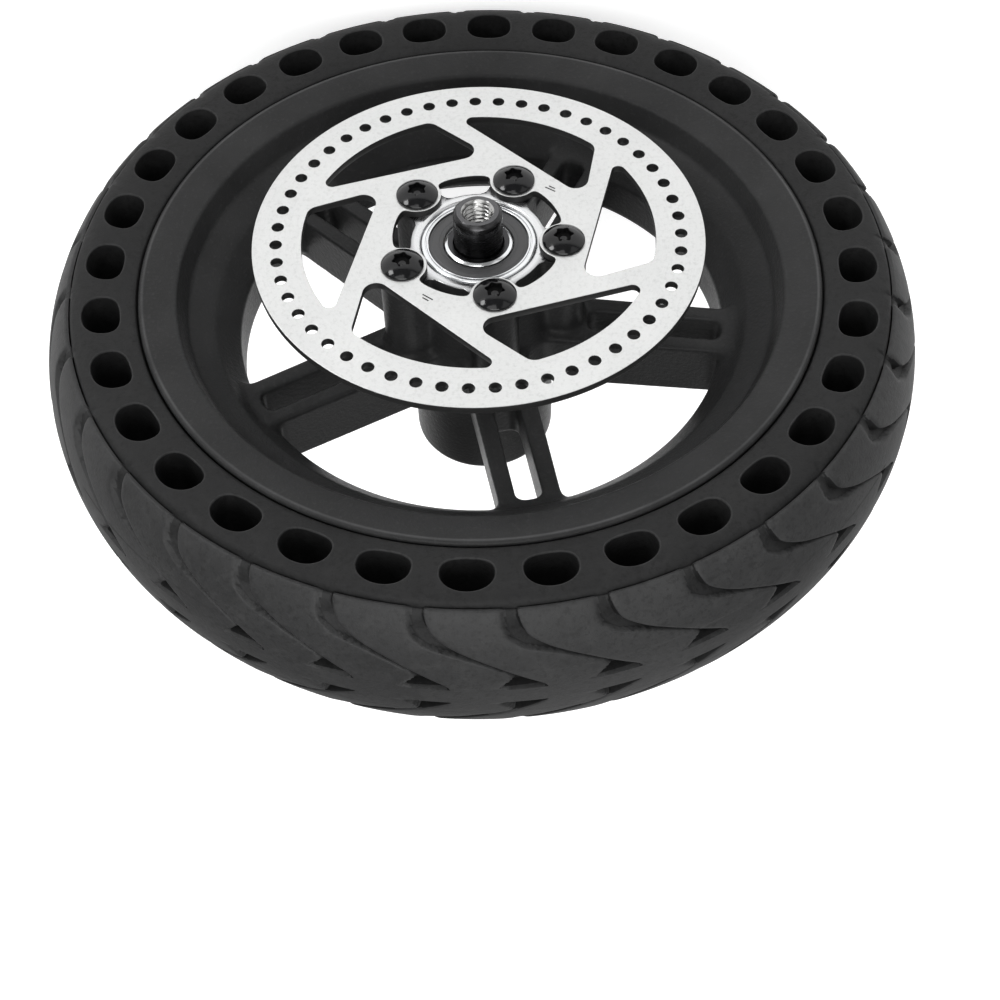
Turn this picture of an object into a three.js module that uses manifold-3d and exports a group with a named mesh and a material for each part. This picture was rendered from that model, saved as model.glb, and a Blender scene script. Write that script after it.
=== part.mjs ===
// Rear wheel of a small electric kick scooter: cast five-spoke rim with a long
// hub barrel, solid honeycomb tyre, drilled brake disc on five screws, two
// sealed ball bearings, inner spacer tube and a through axle tapped at both ends.
//
// Frame: millimetres, origin at the wheel's centre on the spin axis, the axle
// along Y, the brake disc facing -Y, +Z up.
import * as THREE from 'three';
import { mergeVertices } from 'three/addons/utils/BufferGeometryUtils.js';
import Module from 'manifold-3d';

const wasm = await Module();
wasm.setup();

// ---- driving dimensions (mm, degrees) -------------------------------------
const TYRE_R = 110.0;            // crown radius
const TYRE_HALF_W = 24.0;        // half width at the sidewall bulge
const TYRE_BASE_R = 77.9;        // inside radius, on the rim's bead seats
const TYRE_HOLES = 32;           // cushioning holes across the full width
const TYRE_HOLE_HALF = 6.2;      // half width of a hole along the tread
const TYRE_HOLE_OUT = 5.2;       // from a hole's centre towards the tread
const TYRE_HOLE_IN = 5.0;        // and towards the axle
const TYRE_HOLE_PITCH_R = 93.0;
const TYRE_HOLE_PHASE = 8.75;

const RIM_LIP_R = 84.2;
const RIM_BARREL_R = 61.5;       // smallest inside radius, where the spokes land
const SPOKES = 5;
const SPOKE_PHASE = 28.0;        // angle of the first twin spoke, from +X towards +Z
const SPOKE_W = 15.0;            // over both bars, on the disc side
const SPOKE_W_FAR = 12.8;        // the casting's draft narrows them towards the far side
const SLOT_W = 6.3;              // slot between the bars, on the disc side
const SLOT_W_FAR = 8.0;
const SLOT_R0 = 27.0;            // slot's inner and outer ends
const SLOT_R1 = 61.2;
const SPOKE_R1 = 65.7;           // where the bars end inside the rim section
const SPOKE_Y0 = -6.2;           // disc side face of the spokes
const SPOKE_Y1 = 10.6;           // far side face

const HUB_SEAT_Y = -31.2;        // disc seat on the hub
const HUB_END_Y = 36.3;          // far end of the hub barrel
const HUB_R = 18.2;              // far barrel
const HUB_FRONT_R = 16.7;        // ring round the disc side bearing
const BOSS_R = 5.6;              // screw bosses
const SCREW_PCR = 20.8;          // pitch circle radius of the disc screws
const HUB_CORE_R = 11.0;         // bore between the bearings

const DISC_R = 55.0;
const DISC_T = 1.95;
const DISC_BACK_Y = HUB_SEAT_Y - 0.05;
const DISC_BORE_R = 20.9;
const EAR_R = 6.0;
const DISC_HOLES = 51;
const DISC_HOLE_R = 1.5;
const DISC_HOLE_PITCH_R = 49.2;
const DISC_HOLE_PHASE = 1.88;
const WINDOWS = 6;
const WINDOW_OUT_R = 43.05;      // inside edge of the braking band
const WINDOW_LONG_D = 27.25;     // distance of the long edge from the axis
const WINDOW_LONG_A = 225.5;     // direction of that edge's normal
const WINDOW_SHORT_D = 23.7;
const WINDOW_SHORT_A = 169.0;

const BEARING_W = 8.0;           // 12 x 28 x 8 sealed bearing
const BEARING_OD_R = 14.0;
const BEARING_ID_R = 6.1;
const BALL_R = 2.381;
const BALL_PITCH_R = 10.0;
const BALLS = 8;
const BEARING_Y = [-27.0, 32.0]; // centres of the two bearings

const AXLE_R = 6.0;
const AXLE_HALF = 41.0;
const TAP_R = 3.4;               // M8 tapped ends
const TAP_DEPTH = 20.0;

const rad = (d) => d * Math.PI / 180;

// ---- geometry helpers -----------------------------------------------------
// Weld a closed geometry, drop collapsed triangles and turn its faces out.
function clean(geometry) {
  const g = geometry.clone();
  g.deleteAttribute('normal');
  g.deleteAttribute('uv');
  const m = mergeVertices(g, 1e-4);
  const p = m.attributes.position.array;
  const src = m.index.array;
  let idx = [];
  let vol = 0;
  for (let i = 0; i < src.length; i += 3) {
    const [a, b, c] = [src[i], src[i + 1], src[i + 2]];
    if (a === b || b === c || a === c) continue;
    idx.push(a, b, c);
    const [ax, ay, az] = [p[3 * a], p[3 * a + 1], p[3 * a + 2]];
    const [bx, by, bz] = [p[3 * b], p[3 * b + 1], p[3 * b + 2]];
    const [cx, cy, cz] = [p[3 * c], p[3 * c + 1], p[3 * c + 2]];
    vol += ax * (by * cz - bz * cy) - ay * (bx * cz - bz * cx) + az * (bx * cy - by * cx);
  }
  if (vol < 0) for (let i = 0; i < idx.length; i += 3) [idx[i], idx[i + 1]] = [idx[i + 1], idx[i]];
  m.setIndex(idx);
  return m;
}

function solid(geometry) {
  const m = clean(geometry);
  return new wasm.Manifold(new wasm.Mesh({
    numProp: 3,
    vertProperties: new Float32Array(m.attributes.position.array),
    triVerts: new Uint32Array(m.index.array),
  }));
}

function geometryOf(manifold) {
  const mesh = manifold.getMesh();
  const n = mesh.numProp;
  const count = mesh.vertProperties.length / n;
  const pos = new Float32Array(count * 3);
  for (let i = 0; i < count; i++) for (let k = 0; k < 3; k++) pos[3 * i + k] = mesh.vertProperties[n * i + k];
  const g = new THREE.BufferGeometry();
  g.setAttribute('position', new THREE.BufferAttribute(pos, 3));
  g.setIndex(Array.from(mesh.triVerts));
  return g;
}

// A ring of revolution about the Y axis from a profile of [radius, y] that closes on itself.
function ring(profile, segments) {
  const pts = profile.map(([r, y]) => new THREE.Vector2(r, y));
  pts.push(pts[0].clone());
  return new THREE.LatheGeometry(pts, segments);
}

// A solid of revolution about the Y axis whose profile starts and ends on the axis.
function turned(profile, segments) {
  return new THREE.LatheGeometry(profile.map(([r, y]) => new THREE.Vector2(r, y)), segments);
}

// A prism between two heights along Y of an outline given in (X, Z).
function prism(points, yLow, yHigh, holes = []) {
  const shape = new THREE.Shape(points.map(([x, z]) => new THREE.Vector2(x, z)));
  for (const h of holes) shape.holes.push(new THREE.Path(h.map(([x, z]) => new THREE.Vector2(x, z))));
  const g = new THREE.ExtrudeGeometry(shape, { depth: yHigh - yLow, bevelEnabled: false, steps: 1 });
  g.rotateX(Math.PI / 2);
  g.translate(0, yHigh, 0);
  return g;
}

// A prism whose outline, given in (along, across), narrows or widens across by a factor at its
// upper end, turned to an angle about the axle.
function drafted(points, yLow, yHigh, factor, deg) {
  const g = prism(points, yLow, yHigh);
  const p = g.attributes.position;
  const [c, s] = [Math.cos(rad(deg)), Math.sin(rad(deg))];
  for (let i = 0; i < p.count; i++) {
    const [x, y] = [p.getX(i), p.getY(i)];
    const z = p.getZ(i) * (y > (yLow + yHigh) / 2 ? factor : 1);
    p.setXYZ(i, c * x - s * z, y, s * x + c * z);
  }
  return g;
}

// A rounded hole in the tyre, wider along the tread than across it.
function tyreHole(deg, n) {
  const out = [];
  for (let i = 0; i < n; i++) {
    const t = (i + 0.5) * 2 * Math.PI / n;
    const reach = Math.cos(t) > 0 ? TYRE_HOLE_OUT : TYRE_HOLE_IN;
    out.push([TYRE_HOLE_PITCH_R + reach * Math.cos(t), TYRE_HOLE_HALF * Math.sin(t)]);
  }
  return turn(out, deg);
}

function circle(cx, cz, r, n, phase = 0) {
  const out = [];
  for (let i = 0; i < n; i++) {
    const a = rad(phase) + i * 2 * Math.PI / n;
    out.push([cx + r * Math.cos(a), cz + r * Math.sin(a)]);
  }
  return out;
}

function polar(r, deg) { return [r * Math.cos(rad(deg)), r * Math.sin(rad(deg))]; }

function turn(points, deg) {
  const [c, s] = [Math.cos(rad(deg)), Math.sin(rad(deg))];
  return points.map(([x, z]) => [c * x - s * z, s * x + c * z]);
}

// Replace corner i of a polygon by an arc of the radius given for it (0 keeps it sharp).
function rounded(points, radii, steps = 4) {
  const out = [];
  const n = points.length;
  for (let i = 0; i < n; i++) {
    const r = radii[i];
    const [px, pz] = points[i];
    if (!r) { out.push([px, pz]); continue; }
    const [ax, az] = points[(i + n - 1) % n];
    const [bx, bz] = points[(i + 1) % n];
    const la = Math.hypot(ax - px, az - pz), lb = Math.hypot(bx - px, bz - pz);
    const ua = [(ax - px) / la, (az - pz) / la], ub = [(bx - px) / lb, (bz - pz) / lb];
    const half = Math.acos(Math.max(-1, Math.min(1, ua[0] * ub[0] + ua[1] * ub[1]))) / 2;
    const t = Math.min(r / Math.tan(half), la * 0.98, lb * 0.98);
    const rr = t * Math.tan(half);
    const bis = [ua[0] + ub[0], ua[1] + ub[1]];
    const bl = Math.hypot(bis[0], bis[1]);
    const c = [px + bis[0] / bl * rr / Math.sin(half), pz + bis[1] / bl * rr / Math.sin(half)];
    const s0 = [px + ua[0] * t - c[0], pz + ua[1] * t - c[1]];
    const s1 = [px + ub[0] * t - c[0], pz + ub[1] * t - c[1]];
    let a0 = Math.atan2(s0[1], s0[0]), a1 = Math.atan2(s1[1], s1[0]);
    let d = a1 - a0;
    while (d > Math.PI) d -= 2 * Math.PI;
    while (d < -Math.PI) d += 2 * Math.PI;
    for (let k = 0; k <= steps; k++) {
      const a = a0 + d * k / steps;
      out.push([c[0] + rr * Math.cos(a), c[1] + rr * Math.sin(a)]);
    }
  }
  return out;
}

const group = new THREE.Group();
function add(name, geometry, color, roughness, metalness) {
  const g = clean(geometry);
  g.computeVertexNormals();
  const mesh = new THREE.Mesh(g, new THREE.MeshStandardMaterial({ color, roughness, metalness }));
  mesh.name = name;
  group.add(mesh);
}

const RUBBER = 0x2c2c2e, PAINT = 0x1f2021, STEEL = 0xcfd1d3, DARK = 0x111214, RACE = 0xb9bcc0, SEAL = 0x1a1a1c;

// ---- tyre -----------------------------------------------------------------
// Solid rubber: sidewalls that bulge past the rim lips, a rounded tread and a
// base between the lips, with a row of holes right across it.
{
  const half = [
    [TYRE_BASE_R, 16.6], [84.0, 19.1], [84.8, 22.4], [88.2, 23.7], [TYRE_HOLE_PITCH_R, TYRE_HALF_W],
    [98.2, 23.4], [101.2, 21.9], [105.2, 17.6], [108.6, 10.2],
  ];
  const profile = [...half.map(([r, y]) => [r, -y]), [TYRE_R, 0], ...half.slice().reverse()];
  let tyre = solid(ring(profile, 48));
  for (let i = 0; i < TYRE_HOLES; i++) {
    tyre = tyre.subtract(solid(prism(tyreHole(TYRE_HOLE_PHASE + i * 360 / TYRE_HOLES, 10), -30, 30)));
  }
  add('tyre', geometryOf(tyre), RUBBER, 0.85, 0.0);
}

// ---- rim: one casting of rim, twin spokes, hub barrel and screw bosses ------
{
  const section = [
    [RIM_BARREL_R, -3.7], [67.0, -10.5], [73.3, -14.5], [75.3, -20.4], [83.2, -22.5], [RIM_LIP_R, -21.8],
    [83.9, -19.6], [78.7, -18.5], [77.7, -16.8], [77.5, -12.5], [66.6, -5.0],
    [66.6, 7.5], [77.5, 13.5], [77.7, 16.8], [78.7, 18.5], [83.9, 19.6],
    [RIM_LIP_R, 21.8], [83.2, 22.5], [75.3, 20.4], [73.3, 15.5], [67.0, 12.0], [RIM_BARREL_R, 7.0],
  ];
  let rim = solid(ring(section, 48));
  // hub barrel, rounded at its far end
  rim = rim.add(solid(turned([
    [0, HUB_SEAT_Y], [HUB_FRONT_R, HUB_SEAT_Y], [HUB_FRONT_R + 0.9, -12.0], [HUB_R, -6.0], [HUB_R, HUB_END_Y - 2.4],
    [HUB_R - 0.7, HUB_END_Y - 0.7], [HUB_R - 2.4, HUB_END_Y], [0, HUB_END_Y],
  ], 36)));
  for (let k = 0; k < SPOKES; k++) {
    const a = SPOKE_PHASE + k * 360 / SPOKES;
    // twin spoke: one bar with a long slot, both drafted as they were cast
    const out = [[13, -SPOKE_W / 2 - 0.6], [SPOKE_R1, -SPOKE_W / 2], [SPOKE_R1, SPOKE_W / 2], [13, SPOKE_W / 2 + 0.6]];
    const slot = rounded([[SLOT_R0, -SLOT_W / 2], [SLOT_R1, -SLOT_W / 2], [SLOT_R1, SLOT_W / 2], [SLOT_R0, SLOT_W / 2]],
      [2.6, 2.6, 2.6, 2.6], 3);
    const far = SPOKE_Y1 - SPOKE_Y0;
    const over = 1;   // the slot's cutter stands out at both ends
    const grow = (SLOT_W_FAR - SLOT_W) / far * over;
    const [wide0, wide1] = [(SLOT_W - grow) / SLOT_W, (SLOT_W_FAR + grow) / SLOT_W];
    const cutter = drafted(slot.map(([x, z]) => [x, z * wide0]), SPOKE_Y0 - over, SPOKE_Y1 + over, wide1 / wide0, a);
    rim = rim.add(solid(drafted(out, SPOKE_Y0, SPOKE_Y1, SPOKE_W_FAR / SPOKE_W, a)).subtract(solid(cutter)));
    // screw boss: a rib of round section running from the disc seat down to the spokes
    const web = [[12, -BOSS_R + 0.4], [SCREW_PCR, -BOSS_R], [SCREW_PCR, BOSS_R], [12, BOSS_R - 0.4]];
    rim = rim.add(solid(prism(turn(web, a), HUB_SEAT_Y, SPOKE_Y0 + 2)));
    const [bx, bz] = polar(SCREW_PCR, a);
    rim = rim.add(solid(prism(circle(bx, bz, BOSS_R, 16, a), HUB_SEAT_Y, SPOKE_Y0 + 2)));
  }
  // bearing seats at both ends and the bore between them
  rim = rim.subtract(solid(turned([
    [0, HUB_SEAT_Y - 1], [14.8, HUB_SEAT_Y - 1], [14.16, HUB_SEAT_Y + 0.5], [14.16, BEARING_Y[0] + BEARING_W / 2 + 0.05],
    [HUB_CORE_R, BEARING_Y[0] + BEARING_W / 2 + 0.05], [HUB_CORE_R, BEARING_Y[1] - BEARING_W / 2 - 0.05],
    [14.16, BEARING_Y[1] - BEARING_W / 2 - 0.05], [14.16, HUB_END_Y - 0.5], [14.8, HUB_END_Y + 1], [0, HUB_END_Y + 1],
  ], 24)));
  for (let k = 0; k < SPOKES; k++) {
    const [x, z] = polar(SCREW_PCR, SPOKE_PHASE + k * 360 / SPOKES);
    rim = rim.subtract(solid(prism(circle(x, z, 2.65, 10), HUB_SEAT_Y - 1, HUB_SEAT_Y + 14)));
  }
  add('rim', geometryOf(rim), PAINT, 0.55, 0.3);
}

// ---- brake disc -------------------------------------------------------------
{
  // bore with five ears that reach in to the screws
  const bore = [];
  for (let k = 0; k < SPOKES; k++) {
    const a = SPOKE_PHASE + k * 72;
    // the ear's arc meets the bore circle at this angle either side of the screw
    const gap = 180 / Math.PI * 2 * Math.asin(EAR_R / (2 * SCREW_PCR)) + 1.2;
    const [cx, cz] = polar(SCREW_PCR, a);
    const steps = 8;
    const start = polar(DISC_BORE_R, a - gap), end = polar(DISC_BORE_R, a + gap);
    const a0 = Math.atan2(start[1] - cz, start[0] - cx), a1 = Math.atan2(end[1] - cz, end[0] - cx);
    let d = a1 - a0; while (d > 0) d -= 2 * Math.PI;   // round the inner side
    for (let i = 0; i <= steps; i++) bore.push([cx + EAR_R * Math.cos(a0 + d * i / steps), cz + EAR_R * Math.sin(a0 + d * i / steps)]);
    for (let i = 1; i < 6; i++) bore.push(polar(DISC_BORE_R, a + gap + (72 - 2 * gap) * i / 6));
  }
  const holes = [bore];
  // six swept windows: an arc along the braking band and two straight edges
  const n1 = [Math.cos(rad(WINDOW_LONG_A)), Math.sin(rad(WINDOW_LONG_A))];
  const n2 = [Math.cos(rad(WINDOW_SHORT_A)), Math.sin(rad(WINDOW_SHORT_A))];
  const det = n1[0] * n2[1] - n1[1] * n2[0];
  const corner = [(WINDOW_LONG_D * n2[1] - WINDOW_SHORT_D * n1[1]) / det, (n1[0] * WINDOW_SHORT_D - n2[0] * WINDOW_LONG_D) / det];
  const onArc = (A, d, side) => A + side * 180 / Math.PI * Math.acos(d / WINDOW_OUT_R);
  const aLong = onArc(WINDOW_LONG_A, WINDOW_LONG_D, 1);
  const aShort = onArc(WINDOW_SHORT_A, WINDOW_SHORT_D, 1);
  const win = [], rr = [];
  for (let i = 0; i <= 5; i++) {
    win.push(polar(WINDOW_OUT_R, aShort + (aLong - aShort) * i / 5));
    rr.push(i === 0 ? 3.2 : i === 5 ? 1.7 : 0);
  }
  win.push(corner); rr.push(3.2);
  const rounds = rounded(win, rr, 3);
  for (let k = 0; k < WINDOWS; k++) holes.push(turn(rounds, k * 60));
  for (let i = 0; i < DISC_HOLES; i++) {
    const a = DISC_HOLE_PHASE + i * 360 / DISC_HOLES;
    const [x, z] = polar(DISC_HOLE_PITCH_R, a);
    holes.push(circle(x, z, DISC_HOLE_R, 6, a));
  }
  for (let k = 0; k < SPOKES; k++) {
    const [x, z] = polar(SCREW_PCR, SPOKE_PHASE + k * 72);
    holes.push(circle(x, z, 2.75, 10));
  }
  add('brake_disc', prism(circle(0, 0, DISC_R, 80), DISC_BACK_Y - DISC_T, DISC_BACK_Y, holes), STEEL, 0.32, 1.0);
}

// ---- disc screws --------------------------------------------------------------
for (let k = 0; k < SPOKES; k++) {
  const y = DISC_BACK_Y - DISC_T - 0.05;
  let screw = solid(turned([
    [0, y - 2.3], [2.6, y - 2.15], [4.3, y - 1.5], [5.2, y - 0.45], [5.2, y], [2.4, y], [2.4, y + 14.2], [0, y + 14.2],
  ], 14));
  const lobes = [];
  for (let i = 0; i < 12; i++) lobes.push(polar(i % 2 ? 1.75 : 2.35, i * 30));
  screw = screw.subtract(solid(prism(lobes, y - 4, y - 0.75)));
  const g = geometryOf(screw);
  const [x, z] = polar(SCREW_PCR, SPOKE_PHASE + k * 72);
  g.translate(x, 0, z);
  add(`disc_screw_${k + 1}`, g, DARK, 0.25, 0.6);
}

// ---- bearings -------------------------------------------------------------------
['disc_side', 'far_side'].forEach((side, s) => {
  const yc = BEARING_Y[s];
  const out = s === 0 ? -1 : 1;             // towards the outside of the hub
  const h = BEARING_W / 2;
  const at = (profile) => profile.map(([r, y]) => [r, y + yc]);
  add(`outer_race_${side}`, ring(at([
    [BEARING_OD_R, -h], [BEARING_OD_R, h], [12.6, h], [12.6, 2.9], [11.75, 2.9], [11.7, 1.9], [12.2, 1.15], [12.56, 0],
    [12.2, -1.15], [11.7, -1.9], [11.75, -2.9], [12.6, -2.9], [12.6, -h],
  ]), 24), RACE, 0.25, 1.0);
  add(`inner_race_${side}`, ring(at([
    [BEARING_ID_R, -h], [BEARING_ID_R, h], [8.3, h], [8.3, 1.9], [7.8, 1.15], [7.48, 0], [7.8, -1.15], [8.3, -1.9], [8.3, -h],
  ]), 24), RACE, 0.25, 1.0);
  for (const [name, e] of [['outer', out], ['inner', -out]]) {
    const lo = Math.min(e * 3.05, e * 3.8), hi = Math.max(e * 3.05, e * 3.8);
    add(`${name}_seal_${side}`, ring(at([[8.62, lo], [12.42, lo], [12.42, hi], [8.62, hi]]), 24), SEAL, 0.7, 0.0);
  }
  let cage = solid(ring(at([[9.1, -2.75], [10.9, -2.75], [10.9, 2.75], [9.1, 2.75]]), 24));
  for (let i = 0; i < BALLS; i++) {
    const a = i * 360 / BALLS + 7.5;
    const pocket = new THREE.CylinderGeometry(2.62, 2.62, 6, 8);
    pocket.rotateZ(Math.PI / 2);
    pocket.translate(10, 0, 0);
    pocket.rotateY(-rad(a));
    pocket.translate(0, yc, 0);
    cage = cage.subtract(solid(pocket));
    const [x, z] = polar(BALL_PITCH_R, a);
    const ball = new THREE.IcosahedronGeometry(BALL_R, 1);
    ball.translate(x, yc, z);
    add(`ball_${i + 1}_${side}`, ball, RACE, 0.1, 1.0);
  }
  add(`ball_cage_${side}`, geometryOf(cage), 0x9a8a5a, 0.4, 0.8);
});

// ---- spacer tube between the inner races ---------------------------------------------
add('bearing_spacer', ring([
  [6.2, BEARING_Y[0] + BEARING_W / 2 + 0.05], [8.0, BEARING_Y[0] + BEARING_W / 2 + 0.05],
  [8.0, BEARING_Y[1] - BEARING_W / 2 - 0.05], [6.2, BEARING_Y[1] - BEARING_W / 2 - 0.05],
], 24), 0xa7abae, 0.4, 1.0);

// ---- axle: a 12 mm shaft, chamfered and tapped M8 at both ends --------------------------
add('axle', turned([
  [0, -AXLE_HALF + TAP_DEPTH], [TAP_R, -AXLE_HALF + TAP_DEPTH], [TAP_R, -AXLE_HALF + 0.7], [4.0, -AXLE_HALF],
  [5.1, -AXLE_HALF], [AXLE_R, -AXLE_HALF + 0.9], [AXLE_R, AXLE_HALF - 0.9], [5.1, AXLE_HALF],
  [4.0, AXLE_HALF], [TAP_R, AXLE_HALF - 0.7], [TAP_R, AXLE_HALF - TAP_DEPTH], [0, AXLE_HALF - TAP_DEPTH],
], 24), 0x3a3b3e, 0.3, 1.0);

export default group;
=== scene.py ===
"""Electric kick scooter rear wheel: solid honeycomb tyre, cast twin-spoke rim, drilled brake disc,
lobed disc screws, sealed bearings and a tapped axle. Lengths in the tables below are millimetres in
the row frame: origin at the wheel's centre, axle along Y, disc facing -Y, +Z up."""

import math

import bmesh
import bpy
import numpy as np
from mathutils import Matrix, Vector


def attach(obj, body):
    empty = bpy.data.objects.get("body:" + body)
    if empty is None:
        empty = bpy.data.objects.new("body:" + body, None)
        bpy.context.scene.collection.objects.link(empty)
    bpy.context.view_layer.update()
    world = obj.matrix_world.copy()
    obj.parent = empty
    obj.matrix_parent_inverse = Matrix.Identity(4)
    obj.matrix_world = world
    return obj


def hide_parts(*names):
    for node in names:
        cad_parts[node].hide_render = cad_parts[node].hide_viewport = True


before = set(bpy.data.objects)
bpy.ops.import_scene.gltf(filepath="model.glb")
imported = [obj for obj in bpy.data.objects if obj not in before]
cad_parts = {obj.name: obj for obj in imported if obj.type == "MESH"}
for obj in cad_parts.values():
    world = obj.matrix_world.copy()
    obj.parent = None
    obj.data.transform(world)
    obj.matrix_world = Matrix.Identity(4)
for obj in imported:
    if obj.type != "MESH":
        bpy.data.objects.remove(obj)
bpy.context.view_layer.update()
MM = 0.001
PI = math.pi

# ---------------------------------------------------------------- dimensions
SPOKE_PHASE = 28.0
HOLE_PHASE = 8.75
TREAD_PHASE = 126.98          # angle of one tread pocket's tip
SCREW_R = 20.8
DISC_OUT_Y = -33.2            # outer face of the disc
DISC_IN_Y = -31.25
SEAT_Y = -31.2
HUB_END_Y = 36.3
BEARINGS = {"disc_side": (-27.0, -1), "far_side": (32.0, 1)}


# ---------------------------------------------------------------- mesh tools
def mesh_object(name, verts_mm, faces, sharp_deg=35.0, recalc=True):
    me = bpy.data.meshes.new(name)
    v = np.asarray(verts_mm, float) * MM
    me.from_pydata(v.tolist(), [], [list(map(int, f)) for f in faces])
    me.validate()
    if recalc:
        bm = bmesh.new()
        bm.from_mesh(me)
        bmesh.ops.recalc_face_normals(bm, faces=bm.faces)
        bm.to_mesh(me)
        bm.free()
    me.polygons.foreach_set("use_smooth", [True] * len(me.polygons))
    if sharp_deg:
        me.set_sharp_from_angle(angle=math.radians(sharp_deg))
    me.update()
    ob = bpy.data.objects.new(name, me)
    bpy.context.scene.collection.objects.link(ob)
    return ob


def sharpen(me, sharp_deg):
    """Smooth shading, with the edges that turn by more than an angle kept crisp."""
    bm = bmesh.new()
    bm.from_mesh(me)
    for f in bm.faces:
        f.smooth = True
    lim = math.radians(sharp_deg)
    for e in bm.edges:
        e.smooth = len(e.link_faces) == 2 and e.calc_face_angle(0) < lim
    bm.to_mesh(me)
    bm.free()


def thin_out(ob, ratio, sharp_deg):
    """Merges the flat runs of a dense mesh."""
    mod = ob.modifiers.new("thin", "DECIMATE")
    mod.ratio = ratio
    deps = bpy.context.evaluated_depsgraph_get()
    me = bpy.data.meshes.new_from_object(ob.evaluated_get(deps), depsgraph=deps)
    ob.modifiers.clear()
    old = ob.data
    me.name = old.name
    ob.data = me
    bpy.data.meshes.remove(old)
    sharpen(me, sharp_deg)
    return ob


def place(ob, body, slot, *nodes):
    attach(ob, body)
    if nodes:
        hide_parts(*nodes)
    return ob


def grid_faces(rows, cols, close_cols=True, offset=0):
    """Quads of a rows x cols grid of vertices, the columns closing on themselves."""
    i, j = np.meshgrid(np.arange(rows - 1), np.arange(cols if close_cols else cols - 1), indexing="ij")
    k = (j + 1) % cols
    f = np.stack([i * cols + j, i * cols + k, (i + 1) * cols + k, (i + 1) * cols + j], -1)
    return (f.reshape(-1, 4) + offset)


def lathe(profile, segs, phase=0.0):
    """Verts and faces of a turned solid about Y. The profile is [r, y] and closes on itself, or has both ends on the axis."""
    prof = [tuple(p) for p in profile]
    a = np.arange(segs) * 2 * PI / segs + phase
    verts, faces, rings = [], [], []
    for r, y in prof:
        if r < 1e-6:
            rings.append([len(verts)])
            verts.append((0.0, y, 0.0))
        else:
            rings.append(list(range(len(verts), len(verts) + segs)))
            verts.extend(zip(r * np.cos(a), np.full(segs, y), r * np.sin(a)))
    on_axis = prof[0][0] < 1e-6
    pairs = list(zip(rings, rings[1:])) + ([] if on_axis else [(rings[-1], rings[0])])
    for p, q in pairs:
        if len(p) == 1 and len(q) == 1:
            continue
        for s in range(segs):
            t = (s + 1) % segs
            if len(p) == 1:
                faces.append((p[0], q[t], q[s]))
            elif len(q) == 1:
                faces.append((p[s], p[t], q[0]))
            else:
                faces.append((p[s], p[t], q[t], q[s]))
    return np.array(verts, float), faces


def fillet_path(points, radii, steps=5, closed=True):
    """Rounds the corners of a path of (u, v) points by the radius given for each."""
    out, n = [], len(points)
    for i in range(n):
        r = radii[i] if not np.isscalar(radii) else radii
        p = np.array(points[i], float)
        if r <= 0 or (not closed and i in (0, n - 1)):
            out.append(tuple(p))
            continue
        a, b = np.array(points[i - 1], float), np.array(points[(i + 1) % n], float)
        la, lb = np.linalg.norm(a - p), np.linalg.norm(b - p)
        ua, ub = (a - p) / la, (b - p) / lb
        half = math.acos(max(-1, min(1, float(ua @ ub)))) / 2
        if abs(half - PI / 2) < 1e-3:
            out.append(tuple(p))
            continue
        t = min(r / math.tan(half), la * 0.48, lb * 0.48)
        rr = t * math.tan(half)
        bis = (ua + ub) / np.linalg.norm(ua + ub)
        c = p + bis * rr / math.sin(half)
        s0, s1 = p + ua * t - c, p + ub * t - c
        a0, a1 = math.atan2(s0[1], s0[0]), math.atan2(s1[1], s1[0])
        d = (a1 - a0 + PI) % (2 * PI) - PI
        for k in range(steps + 1):
            w = a0 + d * k / steps
            out.append((c[0] + rr * math.cos(w), c[1] + rr * math.sin(w)))
    return out


def smoothstep(a, b, x):
    t = np.clip((x - a) / (b - a), 0, 1)
    return t * t * (3 - 2 * t)


def natural_spline(points, samples):
    """Points of a smooth curve through the given points, with the samples' parameters in chord length."""
    p = np.array(points, float)
    t = np.r_[0, np.cumsum(np.hypot(*np.diff(p, axis=0).T))]
    n = len(p)
    h = np.diff(t)
    A = np.zeros((n, n))
    rhs = np.zeros((n, 2))
    A[0, 0] = A[-1, -1] = 1
    for i in range(1, n - 1):
        A[i, i - 1], A[i, i], A[i, i + 1] = h[i - 1], 2 * (h[i - 1] + h[i]), h[i]
        rhs[i] = 6 * ((p[i + 1] - p[i]) / h[i] - (p[i] - p[i - 1]) / h[i - 1])
    m = np.linalg.solve(A, rhs)
    s = np.asarray(samples, float)
    k = np.clip(np.searchsorted(t, s, side="right") - 1, 0, n - 2)
    u, hk = s - t[k], h[k]
    b = (p[k + 1] - p[k]) / hk[:, None] - hk[:, None] * (2 * m[k] + m[k + 1]) / 6
    pos = p[k] + b * u[:, None] + m[k] * (u**2)[:, None] / 2 + (m[k + 1] - m[k]) * (u**3 / (6 * hk))[:, None]
    der = b + m[k] * u[:, None] + (m[k + 1] - m[k]) * (u**2 / (2 * hk))[:, None]
    return pos, der, t


# ---------------------------------------------------------------- materials
def new_material(name):
    m = bpy.data.materials.new(name)
    m.use_nodes = True
    nt = m.node_tree
    for n in list(nt.nodes):
        nt.nodes.remove(n)
    out = nt.nodes.new("ShaderNodeOutputMaterial")
    bsdf = nt.nodes.new("ShaderNodeBsdfPrincipled")
    nt.links.new(bsdf.outputs[0], out.inputs[0])
    return m, nt, bsdf


def node(nt, kind, **values):
    n = nt.nodes.new(kind)
    for k, v in values.items():
        if k in n.inputs:
            n.inputs[k].default_value = v
        else:
            setattr(n, k, v)
    return n


def math_node(nt, op, a, b=None, clamp=False):
    n = nt.nodes.new("ShaderNodeMath")
    n.operation = op
    n.use_clamp = clamp
    for i, x in enumerate((a, b)):
        if x is None:
            continue
        if isinstance(x, (int, float)):
            n.inputs[i].default_value = x
        else:
            nt.links.new(x, n.inputs[i])
    return n.outputs[0]


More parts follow.
